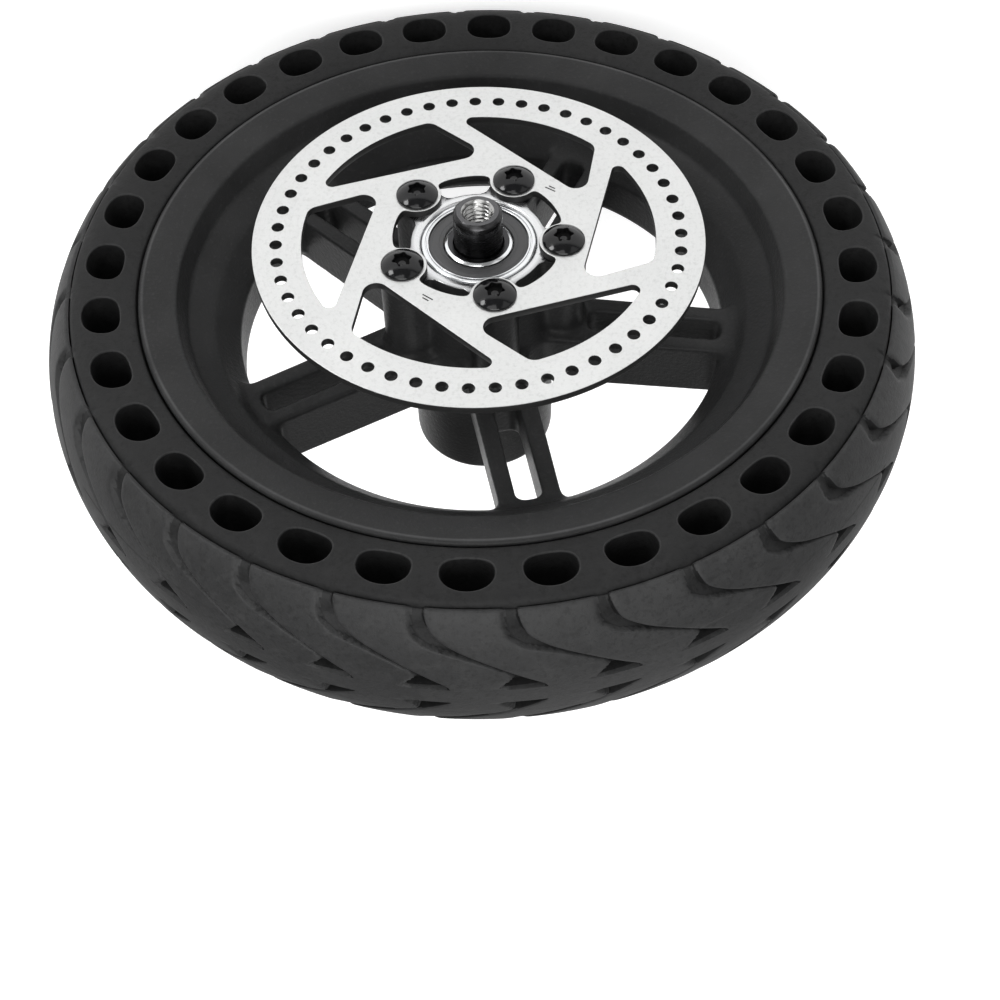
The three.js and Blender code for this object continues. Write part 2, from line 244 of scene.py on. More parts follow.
def noise(nt, vec, scale, detail=4.0, rough=0.55, dist=0.0):
    n = nt.nodes.new("ShaderNodeTexNoise")
    n.inputs["Scale"].default_value = scale
    n.inputs["Detail"].default_value = detail
    n.inputs["Roughness"].default_value = rough
    n.inputs["Distortion"].default_value = dist
    nt.links.new(vec, n.inputs["Vector"])
    return n.outputs["Fac"]


def ramp(nt, fac, stops):
    n = nt.nodes.new("ShaderNodeValToRGB")
    cr = n.color_ramp
    while len(cr.elements) < len(stops):
        cr.elements.new(0.5)
    for e, (p, c) in zip(cr.elements, stops):
        e.position = p
        e.color = (c, c, c, 1) if np.isscalar(c) else (*c, 1)
    nt.links.new(fac, n.inputs[0])
    return n.outputs[0]


def map_range(nt, fac, a, b, c, d):
    n = nt.nodes.new("ShaderNodeMapRange")
    for i, v in enumerate((a, b, c, d)):
        n.inputs[1 + i].default_value = v
    nt.links.new(fac, n.inputs[0])
    return n.outputs[0]


def bump(nt, bsdf, heights):
    """Chains bumps of (height socket, strength, distance in metres)."""
    last = None
    for h, strength, dist in heights:
        b = nt.nodes.new("ShaderNodeBump")
        b.inputs["Strength"].default_value = strength
        b.inputs["Distance"].default_value = dist
        nt.links.new(h, b.inputs["Height"])
        if last is not None:
            nt.links.new(last, b.inputs["Normal"])
        last = b.outputs[0]
    nt.links.new(last, bsdf.inputs["Normal"])


def coords(nt):
    return nt.nodes.new("ShaderNodeTexCoord").outputs["Object"]


def polar_vector(nt, vec, around, across, along):
    """(angle * around, radius * across, y * along), for marks left by turning about Y."""
    s = nt.nodes.new("ShaderNodeSeparateXYZ")
    nt.links.new(vec, s.inputs[0])
    x, y, z = s.outputs
    r = math_node(nt, "SQRT", math_node(nt, "ADD", math_node(nt, "MULTIPLY", x, x), math_node(nt, "MULTIPLY", z, z)))
    a = math_node(nt, "ARCTAN2", z, x)
    c = nt.nodes.new("ShaderNodeCombineXYZ")
    nt.links.new(math_node(nt, "MULTIPLY", a, around), c.inputs[0])
    nt.links.new(math_node(nt, "MULTIPLY", r, across), c.inputs[1])
    nt.links.new(math_node(nt, "MULTIPLY", y, along), c.inputs[2])
    return c.outputs[0], r


def mix_color(nt, fac, a, b):
    n = nt.nodes.new("ShaderNodeMix")
    n.data_type = "RGBA"
    for i, x in ((0, fac), (6, a), (7, b)):
        if isinstance(x, (int, float)):
            n.inputs[i].default_value = x
        elif isinstance(x, tuple):
            n.inputs[i].default_value = (*x, 1)
        else:
            nt.links.new(x, n.inputs[i])
    return n.outputs[2]


def rubber_material(name="tyre_rubber", shade=1.0, spec=0.34):
    m, nt, b = new_material(name)
    v = coords(nt)
    big = noise(nt, v, 38, 5, 0.6)
    mid = noise(nt, v, 260, 5, 0.65)
    fine = noise(nt, v, 1500, 3, 0.6)
    base = ramp(nt, big, [(p, tuple(shade * x for x in c)) for p, c in
                          [(0.30, (0.0140, 0.0141, 0.0145)), (0.52, (0.0220, 0.0221, 0.0225)), (0.74, (0.0320, 0.0321, 0.0325))]])
    dust = ramp(nt, mid, [(0.50, 0.0), (0.80, 1.0)])
    col = mix_color(nt, math_node(nt, "MULTIPLY", dust, 0.42), base, (0.052 * shade,) * 3)
    grit = ramp(nt, noise(nt, v, 780, 4, 0.7), [(0.36, 0.55), (0.50, 0.0), (0.62, 0.0)])
    col = mix_color(nt, grit, col, (0.008 * shade,) * 3)
    nt.links.new(col, b.inputs["Base Color"])
    rough = math_node(nt, "ADD", map_range(nt, big, 0.3, 0.75, 0.58, 0.70), map_range(nt, mid, 0.3, 0.7, -0.04, 0.05))
    nt.links.new(rough, b.inputs["Roughness"])
    b.inputs["Specular IOR Level"].default_value = spec
    bump(nt, b, [(big, 0.25, 0.0009), (mid, 0.45, 0.00028), (fine, 0.7, 0.00011)])
    return m


def paint_material():
    m, nt, b = new_material("rim_black_coat")
    v = coords(nt)
    _, radius = polar_vector(nt, v, 1.0, 1.0, 1.0)
    # painted highlight: the coat turns lighter in a thin band at 83.4 mm radius, on the lip's rounded edge, standing in
    # for the light that edge catches
    off = math_node(nt, "ABSOLUTE", math_node(nt, "SUBTRACT", radius, 0.0834))
    lip_painted_highlight = map_range(nt, off, 0.00008, 0.00045, 1.0, 0.0)
    big = noise(nt, v, 45, 4, 0.6)
    pebble = noise(nt, v, 1050, 4, 0.6)
    fine = noise(nt, v, 3200, 2, 0.5)
    base = ramp(nt, big, [(0.3, (0.0155, 0.0156, 0.0158)), (0.75, (0.0245, 0.0246, 0.0249))])
    spark = ramp(nt, pebble, [(0.55, 0.0), (0.82, 1.0)])
    coat = mix_color(nt, math_node(nt, "MULTIPLY", spark, 0.30), base, (0.060, 0.060, 0.061))
    patch = map_range(nt, big, 0.35, 0.65, 0.35, 1.0)
    coat = mix_color(nt, math_node(nt, "MULTIPLY", math_node(nt, "MULTIPLY", lip_painted_highlight, patch), 0.8), coat, (0.062, 0.062, 0.063))
    nt.links.new(coat, b.inputs["Base Color"])
    nt.links.new(math_node(nt, "ADD", map_range(nt, pebble, 0.3, 0.7, 0.32, 0.46), map_range(nt, big, 0.3, 0.7, -0.03, 0.04)), b.inputs["Roughness"])
    b.inputs["Specular IOR Level"].default_value = 0.09
    bump(nt, b, [(big, 0.15, 0.0008), (pebble, 0.8, 0.00017), (fine, 0.4, 0.00004)])
    return m


def turned_metal(name, color, rough, streak=0.08, ring_scale=9000.0, grain=0.25, metallic=1.0, wear=None, fade=None):
    """Metal with the fine concentric marks of a lathe or a grinding wheel."""
    m, nt, b = new_material(name)
    v = coords(nt)
    pv, radius = polar_vector(nt, v, 1.6, ring_scale, ring_scale * 0.5)
    lines = noise(nt, pv, 1.0, 3, 0.6)
    cloud = noise(nt, v, 120, 4, 0.6)
    fine = noise(nt, v, 4200, 2, 0.5)
    lo = tuple(c * 0.86 for c in color)
    base = mix_color(nt, lines, lo, color)
    if wear:
        base = mix_color(nt, ramp(nt, cloud, [(0.48, 0.0), (0.72, wear[0])]), base, wear[1])
    if fade:
        # the tool's mark ends at a radius and the dark casting starts
        base = mix_color(nt, map_range(nt, radius, fade[0], fade[1], 0.0, 1.0), base, fade[2])
    nt.links.new(base, b.inputs["Base Color"])
    r = math_node(nt, "ADD", map_range(nt, lines, 0.3, 0.7, rough - streak, rough + streak), map_range(nt, cloud, 0.3, 0.7, -0.03, 0.04), clamp=True)
    nt.links.new(r, b.inputs["Roughness"])
    b.inputs["Metallic"].default_value = metallic
    bump(nt, b, [(lines, grain, 0.00002), (fine, grain * 0.6, 0.000012)])
    return m


def disc_material():
    m, nt, b = new_material("disc_brushed_steel")
    v = coords(nt)
    pv, r = polar_vector(nt, v, 10.0, 5200.0, 1.0)
    lines = noise(nt, pv, 1.0, 4, 0.7)
    grain = noise(nt, v, 2600, 3, 0.65)
    speck = noise(nt, v, 900, 4, 0.7)
    cloud = noise(nt, v, 55, 4, 0.6)
    a = mix_color(nt, lines, (0.46, 0.464, 0.46), (0.60, 0.604, 0.60))
    a = mix_color(nt, ramp(nt, speck, [(0.50, 0.0), (0.78, 0.55)]), a, (0.33, 0.333, 0.33))
    a = mix_color(nt, ramp(nt, cloud, [(0.45, 0.0), (0.8, 0.25)]), a, (0.66, 0.66, 0.655))
    nt.links.new(a, b.inputs["Base Color"])
    rr = math_node(nt, "ADD", map_range(nt, lines, 0.3, 0.7, 0.30, 0.44), map_range(nt, grain, 0.3, 0.7, -0.04, 0.06))
    nt.links.new(rr, b.inputs["Roughness"])
    b.inputs["Metallic"].default_value = 1.0
    bump(nt, b, [(lines, 0.25, 0.00002), (grain, 0.45, 0.00002), (speck, 0.2, 0.00003)])
    return m


def gloss_black(name, color=(0.0045, 0.0045, 0.005), rough=0.10, spec=0.26):
    m, nt, b = new_material(name)
    v = coords(nt)
    n1 = noise(nt, v, 700, 4, 0.6)
    n2 = noise(nt, v, 3000, 2, 0.5)
    nt.links.new(mix_color(nt, n1, color, tuple(c * 2.2 for c in color)), b.inputs["Base Color"])
    nt.links.new(map_range(nt, n1, 0.3, 0.7, rough - 0.04, rough + 0.08), b.inputs["Roughness"])
    b.inputs["Specular IOR Level"].default_value = spec
    bump(nt, b, [(n1, 0.35, 0.00006), (n2, 0.2, 0.00002)])
    return m


def seal_material():
    m, nt, b = new_material("seal_rubber")
    v = coords(nt)
    pv, _ = polar_vector(nt, v, 2.0, 6000.0, 10.0)
    lines = noise(nt, pv, 1.0, 3, 0.5)
    n1 = noise(nt, v, 900, 4, 0.6)
    nt.links.new(mix_color(nt, n1, (0.020, 0.020, 0.021), (0.050, 0.050, 0.052)), b.inputs["Base Color"])
    nt.links.new(map_range(nt, n1, 0.3, 0.7, 0.42, 0.58), b.inputs["Roughness"])
    bump(nt, b, [(lines, 0.2, 0.00003), (n1, 0.3, 0.00004)])
    return m


MAT = {
    # lit and shaded copies of one rubber: the tread copy is lighter than the sidewall as painted light on the crown,
    # the groove and deep copies are darker as painted shade in grooves, pockets, walls and hole bores, and the mouth
    # copy is lighter as a painted highlight round the hole mouths
    "tyre": rubber_material("tyre_rubber", 0.44, 0.18),
    "tread": rubber_material("tyre_rubber_tread_painted_light", 0.86, 0.30),
    "groove": rubber_material("tyre_rubber_groove_painted_shade", 0.58, 0.2),
    "deep": rubber_material("tyre_rubber_painted_deep_shade", 0.42, 0.10),
    "paint": paint_material(),
    "turned": turned_metal("hub_turned_face", (0.60, 0.605, 0.61), 0.24, 0.07, 5200.0, 0.6, fade=(0.0156, 0.0176, (0.10, 0.10, 0.102))),
    "disc": disc_material(),
    "screw": gloss_black("screw_black", (0.0022, 0.0022, 0.0025), 0.07, 0.29),
    "socket": gloss_black("screw_socket_painted_shade", (0.0012, 0.0012, 0.0013), 0.5, 0.06),
    "mouth": rubber_material("tyre_rubber_mouth_painted_highlight", 0.66, 0.24),
    "race": turned_metal("bearing_steel", (0.66, 0.67, 0.68), 0.16, 0.05, 7000.0, 0.3),
    "seal": seal_material(),
    "cage": turned_metal("cage_pressed_steel", (0.62, 0.60, 0.54), 0.35, 0.06, 3000.0, 0.3),
    "ball": turned_metal("ball_polished_steel", (0.86, 0.87, 0.88), 0.07, 0.02, 900.0, 0.05),
    "spacer": turned_metal("spacer_alloy", (0.72, 0.73, 0.74), 0.30, 0.08, 4000.0, 0.5),
    "axle": turned_metal("axle_dark_steel", (0.030, 0.030, 0.031), 0.27, 0.08, 4500.0, 0.4, wear=(0.5, (0.11, 0.11, 0.112))),
    "axle_end": turned_metal("axle_end_face", (0.095, 0.095, 0.098), 0.30, 0.08, 4500.0, 0.5),
    # black for the disc's cut walls as painted shade, and for the etched ticks as their own colour
    "edge": gloss_black("disc_cut_edge_painted_shade_and_etch", (0.008, 0.008, 0.008), 0.5),
    "race_painted_dark_reflection": turned_metal("bearing_steel_painted_dark_reflection", (0.045, 0.045, 0.047), 0.22, 0.06, 7000.0, 0.3),
    "thread": turned_metal("axle_thread_bare", (0.33, 0.33, 0.325), 0.24, 0.06, 3000.0, 0.2),
}


def use(ob, *mats):
    ob.data.materials.clear()
    for m in mats:
        ob.data.materials.append(m)
    return ob


# ---------------------------------------------------------------- tyre
OUTER = [(85.2, -21.75), (88.2, -22.75), (93.0, -23.6), (97.6, -23.85), (101.2, -22.7), (105.2, -18.1), (108.5, -10.4), (109.97, 0.0)]
OUTER = OUTER + [(r, -y) for r, y in OUTER[-2::-1]]
_, _, KNOTS = natural_spline(OUTER, [0.0])


def side_half_width(r):
    """Half width of the sidewall at a radius between 85.2 and 101.2."""
    s = np.linspace(KNOTS[0], KNOTS[4], 160)
    p, _, _ = natural_spline(OUTER, s)
    return np.interp(r, p[:, 0], -p[:, 1])


def tyre_body():
    N, n_out, n_in, m = 32, 16, 8, 8
    R0, R1 = 85.2, 100.85
    half = math.radians(180 / N)
    EDGE = 0.4
    # the boundary of one cell in local polar coordinates, outer arc, side, inner arc, side
    bnd = []
    for i in range(n_out):
        bnd.append((R1, half - 2 * half * i / n_out, "o", i))
    for i in range(m):
        bnd.append((R1 + (R0 - R1) * i / m, -half, "r", i))
    for i in range(n_in):
        bnd.append((R0, -half + 2 * half * i / n_in, "i", i))
    for i in range(m):
        bnd.append((R0 + (R1 - R0) * i / m, half, "l", i))
    n = len(bnd)
    b = np.array([(r * math.cos(a) - 93.0, r * math.sin(a)) for r, a, _, _ in bnd])
    d = b / np.linalg.norm(b, axis=1)[:, None]
    # the holes are wider along the tread than across it, and flatter on the side nearer the axle
    out = d[:, 0] > 0
    ex = np.where(out, 2.1, 2.7)
    R_HOLE = ((np.abs(d[:, 0]) / np.where(out, 4.80, 4.25)) ** ex + (np.abs(d[:, 1]) / 6.0) ** ex) ** (-1 / ex)
    R_HOLE = R_HOLE[:, None]
    rings = []      # (points in local (radial, tangential), extra depth)
    for s in (0.0, 0.10, 0.24, 0.42, 0.62, 0.80, 1.0):
        c = d * (R_HOLE + EDGE)
        rings.append((c + (b - c) * s, 0.0))
    rings = rings[::-1]
    for k in range(1, 5):
        t = PI / 2 * k / 4
        rings.append((d * (R_HOLE + EDGE * (1 - math.sin(t))), EDGE * (1 - math.cos(t))))
    verts, faces, key = [], [], {}
    table = np.linspace(84, 102, 400)
    widths = side_half_width(np.clip(table, 85.2, 101.2))

    def width(r):
        # the sidewall rolls in a little at the shoulder line
        return np.interp(r, table, widths) - 0.55 * smoothstep(100.35, 100.85, r)

    def add_vert(k, p):
        if k not in key:
            key[k] = len(verts)
            verts.append(p)
        return key[k]

    def edge_index(angle):
        return round((math.degrees(angle) - HOLE_PHASE + 180 / N) * N * n_out / 360) % (N * n_out)

    for cell in range(N):
        A = math.radians(HOLE_PHASE + cell * 360 / N)
        ca, sa = math.cos(A), math.sin(A)
        tube_start = {}
        for side in (-1, 1):
            idx = []
            for q, (pts, depth) in enumerate(rings):
                row = []
                for i in range(n):
                    x, z = pts[i][0] + 93.0, pts[i][1]
                    r = math.hypot(x, z)
                    y = side * (float(width(r)) - depth)
                    X, Z = x * ca - z * sa, x * sa + z * ca
                    if q == 0:       # shared boundary points
                        r_b, a_b = bnd[i][0], A + bnd[i][1]
                        k = (side, "b", round(r_b, 3), edge_index(a_b))
                    else:
                        k = (side, cell, q, i)
                    row.append(add_vert(k, (X, y, Z)))
                idx.append(row)
            for q in range(len(idx) - 1):
                for i in range(n):
                    j = (i + 1) % n
                    faces.append((idx[q][i], idx[q][j], idx[q + 1][j], idx[q + 1][i]))
            tube_start[side] = idx[-1]
        # the bore of the hole, from one side to the other
        prev = tube_start[-1]
        y0 = np.array([verts[i][1] for i in tube_start[-1]])
        y1 = np.array([verts[i][1] for i in tube_start[1]])
        for k, t in enumerate((0.030, 0.1, 0.2, 0.35, 0.5, 0.65, 0.8, 0.9, 0.955)):
            row = []
            for i in range(n):
                x, z = d[i][0] * R_HOLE[i, 0] + 93.0, d[i][1] * R_HOLE[i, 0]
                row.append(add_vert((0, cell, k, i), (x * ca - z * sa, y0[i] + (y1[i] - y0[i]) * t, x * sa + z * ca)))
            for i in range(n):
                j = (i + 1) % n
                faces.append((prev[i], prev[j], row[j], row[i]))
            prev = row
        for i in range(n):
            j = (i + 1) % n
            faces.append((prev[i], prev[j], tube_start[1][j], tube_start[1][i]))

    def strip(radius, count, profile):
        """Rows across the width that join the two sides' edge rings at a radius."""
        ang = [math.radians(HOLE_PHASE - 180 / N + 360 * i / count) for i in range(count)]
        ends = []
        for side in (-1, 1):
            ends.append([key[(side, "b", round(radius, 3), edge_index(a))] for a in ang])
        rows = [ends[0]]
        for r, y in profile:
            rows.append([add_vert(("s", round(radius, 2), r, y, i), (r * math.cos(a), y, r * math.sin(a))) for i, a in enumerate(ang)])
        rows.append(ends[1])
        for p, q in zip(rows, rows[1:]):
            for i in range(count):
                j = (i + 1) % count
                faces.append((p[i], p[j], q[j], q[i]))

    base = [(84.98, 21.35), (84.85, 20.6), (84.5, 19.7), (83.9, 19.25), (81.0, 18.4), (79.0, 17.6), (78.1, 16.3), (77.95, 8.0)]
    strip(R0, N * n_in, [(r, -y) for r, y in base] + base[::-1])
    top = [(101.0, 21.2), (101.05, 19.0), (101.5, 14.0), (102.6, 7.0)]
    strip(R1, N * n_out, [(r, -y) for r, y in top] + [(103.0, 0.0)] + top[::-1])
    return verts, faces


tyre = mesh_object("tyre_body", *tyre_body(), sharp_deg=50)
use(tyre, MAT["tyre"], MAT["deep"], MAT["mouth"])
_c = np.zeros(len(tyre.data.polygons) * 3)
tyre.data.polygons.foreach_get("center", _c)
_c = _c.reshape(-1, 3) / MM
_r, _a = np.hypot(_c[:, 0], _c[:, 2]), np.degrees(np.arctan2(_c[:, 2], _c[:, 0]))
_o = np.radians((_a - HOLE_PHASE + 5.625) % 11.25 - 5.625)
_u, _v = _r * np.cos(_o) - 93.0, _r * np.sin(_o)
_down = side_half_width(np.clip(_r, 85.2, 101.2)) - np.abs(_c[:, 1])
_q = np.where(_u > 0, 2.1, 2.7)
_round = ((np.abs(_u) / np.where(_u > 0, 5.20, 4.65)) ** _q + (np.abs(_v) / 6.4) ** _q) ** (1 / _q)
# painted shade: faces inside the hole bores take the darker deep rubber; painted highlight: the rounded mouth of each
# hole takes the lighter mouth rubber
_mi = np.where((_round < 0.985) & (_down > 0.42), 1, np.where((_round < 0.998) & (_down < 0.42), 2, 0))
tyre.data.polygons.foreach_set("material_index", _mi.astype(int).tolist())
place(tyre, "wheel", "tyre_rubber", "tyre")

# the tread: curved grooves that sweep from the shoulder to a row of deep pockets beside the middle rib
_a = np.arange(0, 24.01, 0.1)
_g = np.interp(_a, [0, 2.9, 3.6, 7.3, 10.5, 14.3, 17.4, 21.0, 24.0], [0.36, 0.33, 0.29, 0.0, -0.267, -0.64, -0.871, -0.945, -0.95])
_k = np.exp(-0.5 * (np.arange(-30, 31) * 0.1 / 0.75) ** 2)
_g = np.convolve(np.pad(_g, 30, mode="edge"), _k / _k.sum(), mode="valid")


def groove_path(a):
    return np.interp(a, _a, _g)


def groove_width(a):
    return np.interp(a, [0, 2.95, 3.0, 3.5, 5.0, 6.6, 7.4, 9.7, 11.5, 12.8, 14.0, 14.8, 16.0, 17.4, 21.0, 24.0],
                     [0.47, 0.47, 0.47, 0.45, 0.27, 0.085, 0.05, 0.05, 0.085, 0.13, 0.22, 0.262, 0.255, 0.235, 0.19, 0.185])


def groove_depth(a):
    return np.interp(a, [0, 3.0, 6.8, 7.8, 10.0, 12.0, 14.0, 18.0, 20.0, 21.3, 24.0], [3.6, 3.6, 3.4, 2.0, 1.9, 2.3, 2.6, 2.6, 1.7, 1.2, 1.2])


def tread_depth(w, a, far=0.0):
    """Depth of the pattern under the crown at w, the share of a pitch from the groove's edge, and a, the distance from the middle."""
    W = groove_width(a) + far * 0.13 * smoothstep(7.6, 10.5, a) * (1 - smoothstep(13.0, 16.0, a))
    left = smoothstep(-0.004, 0.040, -w)
    right = smoothstep(-0.004, 0.030, w + W)
    share = np.clip(-w / np.maximum(W, 1e-3), 0, 1)
    floor_tilt = 1.0 - 0.55 * share * smoothstep(8.0, 12.0, a) - 0.35 * share * (1 - smoothstep(6.0, 8.0, a))
    deep = groove_depth(a) + far * 1.0 * smoothstep(7.6, 10.0, a) * (1 - smoothstep(18.0, 20.5, a))
    d = deep * left * right * smoothstep(2.75, 3.35, a) * floor_tilt
    # block edges are slightly rounded beside the walls
    d += 0.14 * np.exp(-(np.clip(w, 0, 1) / 0.018) ** 2) * (w >= 0) * smoothstep(2.9, 4.0, a)
    d += 0.16 * np.exp(-(np.clip(-(w + W), 0, 1) / 0.025) ** 2) * (w <= -W) * smoothstep(2.9, 4.0, a)
    return d


def tyre_tread():
    N = 32
    w_nodes = np.array([0.30, 0.21, 0.13, 0.07, 0.030, 0.010, 0.001, -0.007, -0.015, -0.025, -0.04, -0.06, -0.085, -0.112,
                        -0.14, -0.168, -0.196, -0.224, -0.252, -0.285, -0.322, -0.36, -0.40, -0.44, -0.48, -0.60])
    cols = N * len(w_nodes)
    w = np.tile(w_nodes, N)
    pitch = np.repeat(np.arange(N), len(w_nodes))
    # rows by arc length over the crown
    s0, s1 = KNOTS[4] + 0.5, KNOTS[10] - 0.5
    mid = (s0 + s1) / 2
    h = (s1 - s0) / 2
    u = np.unique(np.r_[np.arange(0, 2.6, 0.85), np.arange(2.6, 8.0, 0.36), np.arange(8.0, h - 0.6, 0.50), h - 0.5, h - 0.25, h - 0.1, h])
    s = np.r_[mid - u[::-1], mid + u[1:]]
    p, der, _ = natural_spline(OUTER, s)
    nrm = np.stack([der[:, 1], -der[:, 0]], 1)
    nrm /= np.linalg.norm(nrm, axis=1)[:, None]       # outward (r, y)
    if nrm[len(s) // 2][0] < 0:
        nrm = -nrm
    rows, sunk = [], []
    for i, si in enumerate(s):
        a = abs(p[i, 1])
        depth = tread_depth(w, np.full(cols, a), 1.0 if p[i, 1] > 0 else 0.0)
        edge = min(si - s0, s1 - si)
        depth = depth + 0.55 * (1 - smoothstep(0.0, 0.45, edge)) ** 1.0
        depth = depth + 0.10 * math.exp(-((p[i, 1] - 0.5) / 0.35) ** 2)
        depth = np.minimum(depth, 4.0)
        sunk.append(depth)
        r = p[i, 0] - depth * nrm[i, 0]
        y = p[i, 1] - depth * nrm[i, 1]
        ang = np.radians(TREAD_PHASE - 11.25 * pitch + 11.25 * (w + groove_path(a)))
        rows.append(np.stack([r * np.cos(ang), y, r * np.sin(ang)], 1))
    # the hidden underside, just outside the body's own top
    for rr, y in [(101.25, 21.0), (101.35, 19.0), (101.8, 14.0), (102.9, 7.0), (103.3, 0.0), (102.9, -7.0), (101.8, -14.0), (101.35, -19.0), (101.25, -21.0)]:
        ang = np.radians(TREAD_PHASE - 11.25 * pitch + 11.25 * (w + groove_path(abs(y))))
        rows.append(np.stack([rr * np.cos(ang), np.full(cols, y), rr * np.sin(ang)], 1))
        sunk.append(np.zeros(cols))
    verts = np.concatenate(rows)
    faces = grid_faces(len(rows), cols)
    last = (len(rows) - 1) * cols
    j = np.arange(cols)
    k = (j + 1) % cols
    faces = np.concatenate([faces, np.stack([last + j, last + k, k, j], 1)])
    return verts, faces, np.concatenate(sunk), np.tile(w, len(rows))


tv, tf, t_depth, t_w = tyre_tread()
tread = mesh_object("tyre_tread", tv, tf, sharp_deg=60)
use(tread, MAT["tread"], MAT["groove"], MAT["deep"])
_l = np.zeros(len(tread.data.loops), np.int32)
tread.data.loops.foreach_get("vertex_index", _l)
_l = _l.reshape(-1, 4)
_d, _w = t_depth[_l], t_w[_l]
_ys = tv[_l][:, :, 1].mean(1)
_y = np.abs(_ys)
# painted shade: groove floors take the darker groove rubber, and the pockets, the far grooves' floors and the steep
# groove walls the darker deep rubber; the block tops keep the lighter tread rubber
_floor = _d.min(1) > 0.55
_steep = (_d.max(1) - _d.min(1) > 0.3) & (_w.mean(1) > -0.045) & (_w.mean(1) < 0.02)
_mi = np.where(_floor, 1, 0)
_mi[(_floor & (_y < 8.6)) | (_floor & (_ys > 8.0) & (_ys < 15.5)) | _steep] = 2
tread.data.polygons.foreach_set("material_index", _mi.astype(int).tolist())
place(tread, "wheel", "tyre_rubber", "tyre")

# ---------------------------------------------------------------- rim casting
RING = [(61.5, -3.7), (67, -10.5), (73.3, -14.5), (75.3, -20.4), (83.6, -22.4), (84.6, -21.6), (84.0, -19.6), (78.7, -18.5),
        (77.7, -16.8), (77.5, -12.5), (66.6, -5.0), (66.6, 7.5), (77.5, 13.5), (77.7, 16.8), (78.7, 18.5), (84.0, 19.6),
        (84.6, 21.6), (83.6, 22.4), (75.3, 20.4), (73.3, 15.5), (67.0, 12.0), (61.5, 7.0)]
RING_R = [1.4, 5.0, 2.0, 1.3, 1.3, 0.6, 0.6, 1.2, 1.0, 2.0, 3.0, 3.0, 2.0, 1.0, 1.2, 0.6, 0.6, 1.3, 1.3, 2.0, 5.0, 1.4]
RING_POLY = np.array(fillet_path(RING, RING_R, 4))
HUB_POLY = np.array(fillet_path([(0, SEAT_Y), (16.7, SEAT_Y), (17.6, -12.0), (18.2, -6.0), (18.2, HUB_END_Y), (0, HUB_END_Y)],
                                [0, 0.5, 0, 0, 2.4, 0], 5))
BORE_POLY = np.array([(-5, SEAT_Y - 3), (14.8, SEAT_Y - 3), (14.8, SEAT_Y - 0.01), (14.16, SEAT_Y + 0.6), (14.16, -22.95), (11, -22.95), (11, 27.95),
                      (14.16, 27.95), (14.16, HUB_END_Y - 0.6), (14.8, HUB_END_Y + 0.01), (14.8, HUB_END_Y + 3), (-5, HUB_END_Y + 3)], float)


def poly_sdf(u, v, poly):
    """Signed distance to a closed polygon, negative inside."""
    u, v = np.broadcast_arrays(u, v)
    shape = u.shape
    u, v = u.ravel(), v.ravel()
    best = np.full(u.shape, 1e18)
    inside = np.zeros(u.shape, bool)
    n = len(poly)
    for i in range(n):
        ax, ay = poly[i]
        bx, by = poly[(i + 1) % n]
        ex, ey = bx - ax, by - ay
        L = ex * ex + ey * ey
        if L < 1e-12:
            continue
        t = np.clip(((u - ax) * ex + (v - ay) * ey) / L, 0, 1)
        dx, dy = u - ax - t * ex, v - ay - t * ey
        np.minimum(best, dx * dx + dy * dy, out=best)
        if ey != 0:
            cross = ((ay > v) != (by > v)) & (u < ex * (v - ay) / ey + ax)
            inside ^= cross
    d = np.sqrt(best)
    return np.where(inside, -d, d).reshape(shape)


def smin(a, b, k):
    h = np.clip(0.5 + 0.5 * (b - a) / k, 0, 1)
    return b + (a - b) * h - k * h * (1 - h)


def smax(a, b, k):
    return -smin(-a, -b, k)


def rim_sdf(phi, r, y, ring=None, hub=None, bore=None):
    """phi in radians from the nearest spoke's middle line."""
    ring = poly_sdf(r, y, RING_POLY) if ring is None else ring
    hub = poly_sdf(r, y, HUB_POLY) if hub is None else hub
    bore = poly_sdf(r, y, BORE_POLY) if bore is None else bore
    bars = boss = screw = None
    for da in (0.0, math.radians(72), -math.radians(72)):
        rho, lam = r * np.cos(phi - da), np.abs(r * np.sin(phi - da))
        # the casting's draft narrows the bars and widens the slot towards the far side
        far = np.clip((y + 6.2) / 16.8, 0, 1)
        w = 7.5 + 0.6 * (65.7 - rho) / 52.7 - 1.1 * far
        e = 1.0
        qx, qy = lam - w + e, np.abs(y - 2.2) - 8.4 + e
        qz = np.maximum(rho - 66.0, 8.0 - rho) + e
        box = np.sqrt(np.maximum(qx, 0) ** 2 + np.maximum(qy, 0) ** 2 + np.maximum(qz, 0) ** 2) + np.minimum(np.maximum(np.maximum(qx, qy), qz), 0) - e
        c = 2.6
        sx, sz = np.abs(rho - 44.1) - 17.1 + c, lam - 3.15 - 0.85 * far + c
        slot = np.sqrt(np.maximum(sx, 0) ** 2 + np.maximum(sz, 0) ** 2) + np.minimum(np.maximum(sx, sz), 0) - c
        bar = smax(box, -slot, 1.3)
        t = np.clip(rho, 12.0, SCREW_R)
        b2 = np.sqrt((rho - t) ** 2 + lam**2) - 5.6
        bs = np.maximum(b2, np.abs(y + 17.7) - 13.5)
        sc = np.maximum(np.sqrt((rho - SCREW_R) ** 2 + lam**2) - 2.65, y - (SEAT_Y + 14))
        bars = bar if bars is None else smin(bars, bar, 3.0)
        boss = bs if boss is None else np.minimum(boss, bs)
        screw = sc if screw is None else np.minimum(screw, sc)
    d = smin(ring, bars, 2.6)
    body = smin(hub, boss, 1.6)
    d = smin(d, body, 3.2)
    d = np.maximum(d, SEAT_Y - y)
    d = np.maximum(d, -bore)
    d = np.maximum(d, -screw)
    return d


